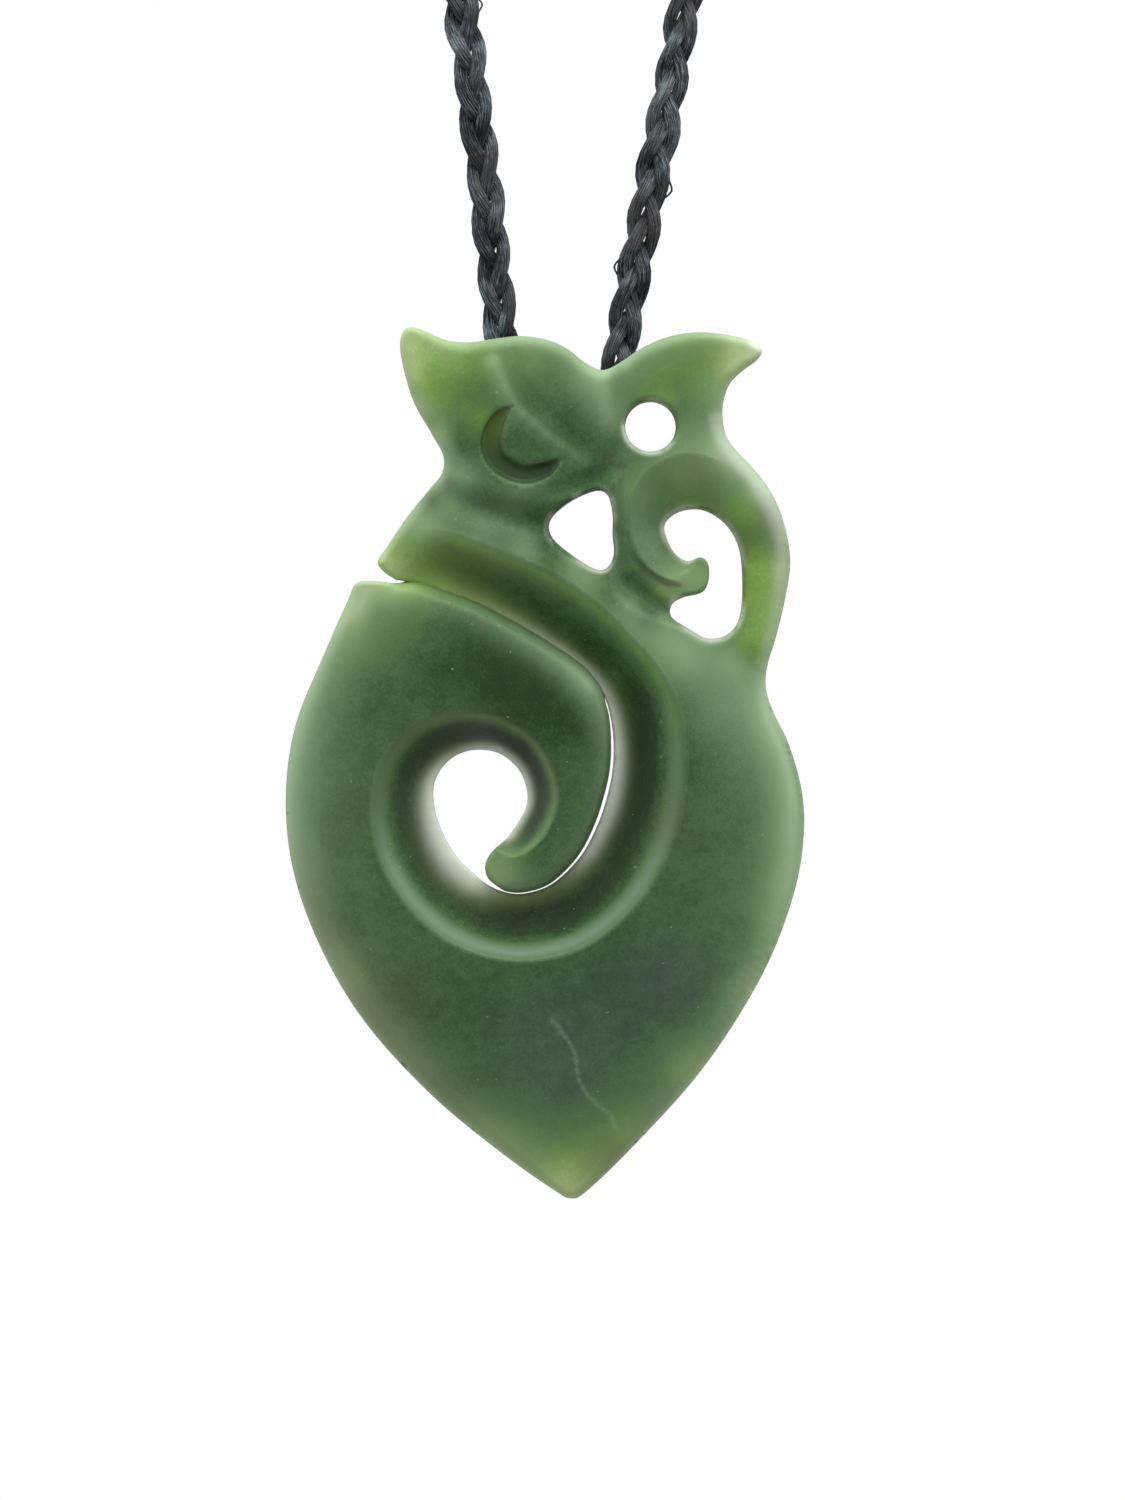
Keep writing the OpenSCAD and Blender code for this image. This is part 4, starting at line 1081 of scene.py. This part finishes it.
def greenstoneFinish():
    # a ramp turns depth of colour into green, and painted sheen, painted shade, painted glow and the stone's
    # own tints are mixed over it one by one
    material = bpy.data.materials.new("polishedStone")
    graph = Graph(material)
    place = graph.node("ShaderNodeTexCoord")[3]

    def mark(name, output=2):
        return graph.node("ShaderNodeAttribute", {"attribute_name": name})[output]

    def split(name):
        return graph.node("ShaderNodeSeparateXYZ", None, {0: mark(name, 1)})

    noises = greenstone["noises"]
    noise = {name: graph.noise(place, *values[:3]) for name, values in noises.items()}
    adds = {name: (noise[name] - 0.5) * values[3] for name, values in noises.items() if len(values) == 4}
    yellow, haze, eye, gap = (mark(name) for name in ("yellow", "milky", "eye", "edgeGap"))
    row, share, hollow = split("hollow")
    lip, yellowLipGlow, _ = split("lip")
    section = graph.node("ShaderNodeValToRGB", {
        "stops": [(at, (value, value, value, 1)) for at, value in greenstone["section"]]}, {"Fac": share})[0]
    # thinner stone is paler: partly the stone's own colour, partly painted light coming through it
    depth = graph.band(mark("thickness"), 0, greenstone["fullDepth"]) * greenstone["mostDepth"]
    depth = (depth + (section - depth) * hollow) * (1 - yellow * greenstone["yellowDepth"])
    # the eye's groove is painted darker, as shade
    depth = depth + eye * greenstone["eyeShadeDepth"]
    depth = depth + adds["clouds"] * depth + adds["mottle"] + adds["fine"] + adds["grain"]
    colour = graph.node("ShaderNodeValToRGB", {"stops": greenstone["stops"]}, {"Fac": depth})[0]

    # how near the outer edge a point is, falling off steeply, as a bell and slowly: masks of the painted glow
    # along the outer edge
    steep, bell, slow = greenstone["edgeGlowFall"]
    rim, near, far = (graph.math("EXPONENT", power) for power in (gap * steep, gap * gap * bell, gap * slow))
    glowCream = graph.mixed(graph.band(lip, 0.1, 0.8), greenstone["brownLipGlow"], greenstone["lip"])
    # masks of the painted sheen near the cove's ridge, and of its painted shade line
    ridge = (1 - graph.band(share, 0.08, 0.3)) * hollow
    slopeSheen = (1 - graph.band(share, 0.1, 0.28)) * hollow
    line = graph.between(share, *greenstone["shadeLineShares"]) * (1 - graph.band(row, *greenstone["shadeLineEnds"]))
    patchy = graph.band(noise["patchy"], 0.42, 0.6)
    # the painted sheen: from the patches outside the coves, painted glow near the outer edge, and near the
    # cove's ridge
    milky = haze * (1 - hollow) * 0.7 + near * (haze * 0.9 + 0.26 - yellow * 0.12)
    milky = milky + rim * 0.5 + far * (1 - yellow) * 0.14 + ridge * 0.1
    most = greenstone["strengths"]
    # painted light and shade among the layers: the cool reflection, the ridge's shade line, the lip's glow,
    # the sheen on the cove's slope and ridge, the milky sheen, the eye's shade, the rims' reflection and the
    # edge's glow; brown, olive, warm, vein and specks are the stone's own
    layers = [   # share, colour
        (mark("cool") * (1 - hollow), greenstone["cool"]),
        (line * most["ridgeShadeLine"], greenstone["ridgeShadeLine"]),
        (lip, graph.mixed(yellowLipGlow, glowCream, greenstone["yellowLipGlow"])),
        (slopeSheen * graph.between(row, *greenstone["slopeSheenRows"]) * most["slopeSheen"], greenstone["slopeSheen"]),
        (ridge * graph.between(row, *greenstone["ridgeSheenRows"]) * most["ridge"], greenstone["ridge"]),
        (milky, graph.mixed(yellow, greenstone["milk"], greenstone["yellowMilkSheen"])),
        (mark("brown"), greenstone["brown"]),
        (mark("bevel"), greenstone["bevel"]),
        (graph.band(eye, 0.05, 0.5) * most["eye"], greenstone["eye"]),
        (mark("olive"), greenstone["olive"]),
        (mark("holeRim") * patchy * (1 - hollow) * most["holeRim"], greenstone["edgeShine"]),
        # painted glow at the outer edge where the patches' sheen is strongest
        (graph.band(haze, 0.7, 1.1) * (near + rim) * most["edgeShine"], greenstone["edgeShine"]),
        (graph.band(noise["warm"], 0.56, 0.72) * most["warm"], greenstone["warm"]),
        (mark("vein") * most["vein"] + graph.band(noise["specks"], 0.77, 0.8) * most["specks"],
         greenstone["vein"]),
    ]
    for share, layer in layers:
        colour = graph.mixed(share, colour, layer)

    streaks = graph.noise(graph.stretched(mark("hollow", 1), greenstone["toolMarks"]), 1, 3, 0.7)
    height = streaks * hollow * 0.8 + noise["ripple"] * 0.6 + noise["fine"] * 0.25
    graph.finish({
        "Base Color": colour,
        "Roughness": noise["shine"] * 0.14 + streaks * hollow * 0.1 + greenstone["roughness"],
        "Normal": graph.bumped(height, *greenstone["bump"]),
        "IOR": 1.61, "Specular IOR Level": 0.35,
        "Subsurface Weight": 0.1, "Subsurface Radius": (0.6, 1, 0.4), "Subsurface Scale": 0.001,
    })
    return material


wax = {
    "cordDark": tint(15, 25, 34),
    "cordLight": tint(176, 190, 200),
    "windingDark": tint(20, 21, 24),
    "windingLight": tint(56, 56, 58),
    # partly wear, partly a painted sheen
    "worn": tint(86, 80, 78),
    "wornShare": 0.42,
    "bump": (0.7, 0.00006),   # strength, and height in m
}


def waxedFinish(name, dark, light, fineness):
    # black waxed thread: fibres run along each thread, with dull grey-brown patches that are partly a wax
    # bloom and partly a painted sheen
    material = bpy.data.materials.new(name)
    graph = Graph(material)
    place = graph.node("ShaderNodeTexCoord")[3]
    run = graph.node("ShaderNodeUVMap", {"uv_map": "run"})[0]
    fibres = graph.noise(graph.stretched(run, fineness), 1, 3, 0.7)
    bloomAndSheen = graph.noise(place, 330, 3, 0.6)
    colour = graph.mixed(graph.band(fibres * 0.8 + bloomAndSheen * 0.4, 0.54, 0.92), wax[dark], wax[light])
    worn = graph.band(graph.noise(place, 170), 0.5, 0.64)
    graph.finish({
        "Base Color": graph.mixed(worn * wax["wornShare"], colour, wax["worn"]),
        "Roughness": bloomAndSheen * 0.25 + 0.38,
        "Normal": graph.bumped(fibres, *wax["bump"]),
        "IOR": 1.45, "Specular IOR Level": 0.4,
    })
    return material


studio = {
    "centre": (0.04, -175.83),    # what the picture's centre shows, in mm: x and z
    "height": 119,                # of the picture, at the stone, in mm
    "distance": 1,                # of the camera from the stone's face, in m
    "face": 0.004,                # how far that is in front of the bore, in m
    "floorDrop": 350,             # in mm, as the floor's radius is
    "floorRadius": 200,
    "floorSides": 96,
    "paper": 0.86,
    "lampAt": (0.05, -0.34, 0.46),   # from the stone's face, in m, as its size is; its power is in W
    "lampSize": 0.45,
    "lampPower": 2.5,
    "upper": 1.7,                 # light from above and in front, from behind, from the sides, and all round
    "behind": 0.15,
    "sides": 0.75,
    "allRound": 0.46,
}


def makeStudio():
    x, z = (value / 1000 for value in studio["centre"])
    front = boreAt[1] / 1000 - studio["face"]
    data = bpy.data.cameras.new("photo")
    data.sensor_width = 36
    data.lens = data.sensor_width * studio["distance"] / (studio["height"] / 1000)
    camera = bpy.data.objects.new("photo", data)
    camera.location = (x, front - studio["distance"], z)
    camera.rotation_euler = (math.pi / 2, 0, 0)
    bpy.context.scene.collection.objects.link(camera)
    bpy.context.scene.camera = camera

    turn = np.linspace(0, 2 * math.pi, studio["floorSides"], endpoint=False)
    ring = np.column_stack([np.cos(turn), np.sin(turn), np.zeros(len(turn))]) * studio["floorRadius"]
    ring = ring + [0, boreAt[1] / 2, cadLow[2] * 1000 - studio["floorDrop"]]
    floor = makePiece("floor", ring, fan(len(turn)))
    paper = bpy.data.materials.new("paper")
    Graph(paper).finish({"Base Color": (studio["paper"],) * 3 + (1,), "Roughness": 0.8})
    floor.data.materials.append(paper)

    # white to the camera; to the object, light that depends on where it comes from
    world = bpy.data.worlds.new("studio")
    bpy.context.scene.world = world
    sky = Graph(world)
    ways = sky.node("ShaderNodeSeparateXYZ", None, {0: sky.node("ShaderNodeTexCoord")[0]})
    behind = sky.band(ways[1], 0, 0.9)
    glow = (sky.math("MAXIMUM", ways[2], 0) ** 2 * (1 - behind) * studio["upper"] + behind * studio["behind"]
            + sky.band(sky.math("ABSOLUTE", ways[0]), 0.4, 1) * studio["sides"] + studio["allRound"])
    soft = sky.node("ShaderNodeBackground", None, {"Strength": glow * sky.band(ways[2], -2, 0.1)})[0]
    white = sky.node("ShaderNodeBackground", None, {"Color": (1, 1, 1, 1), "Strength": 1})[0]
    seen = sky.node("ShaderNodeLightPath")[0]
    mixed = sky.node("ShaderNodeMixShader", None, {0: seen, 1: soft, 2: white})[0]
    sky.node("ShaderNodeOutputWorld", None, {"Surface": mixed})

    data = bpy.data.lights.new("top", "AREA")
    data.shape, data.size, data.energy = "DISK", studio["lampSize"], studio["lampPower"]
    lamp = bpy.data.objects.new("top", data)
    lamp.location = Vector(studio["lampAt"]) + Vector((0, front, z))
    lamp.rotation_euler = (Vector((0, front, z)) - lamp.location).to_track_quat("-Z", "Y").to_euler()
    lamp.visible_glossy = False
    bpy.context.scene.collection.objects.link(lamp)


figure = makeStone()
figure.data.materials.append(greenstoneFinish())
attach(figure, "stone")
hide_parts("greenstone")

route = evenly(smoothLine(cordRoute, grooveSteps), cord["step"], axes=3)
run = np.append(0, np.cumsum(np.linalg.norm(np.diff(route, axis=0), axis=1)))
dice = np.random.default_rng(cord["seed"])
twist = wander(len(run), "twist", dice)
waxed = waxedFinish("waxedCord", "cordDark", "cordLight", (0.9, 12, 1))
for number in range(3):
    strand = makeStrand(number, route, run, twist, dice)
    strand.data.materials.append(waxed)
    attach(strand, "cord")
    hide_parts(f"braid_strand_{number + 1}")

sleeve = makeBinding()
sleeve.data.materials.append(waxedFinish("windings", "windingDark", "windingLight", (1, 0.6, 1)))
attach(sleeve, "cord")
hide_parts("nape_binding")

makeStudio()
bpy.context.scene.view_settings.view_transform = "Standard"
print("studio set")
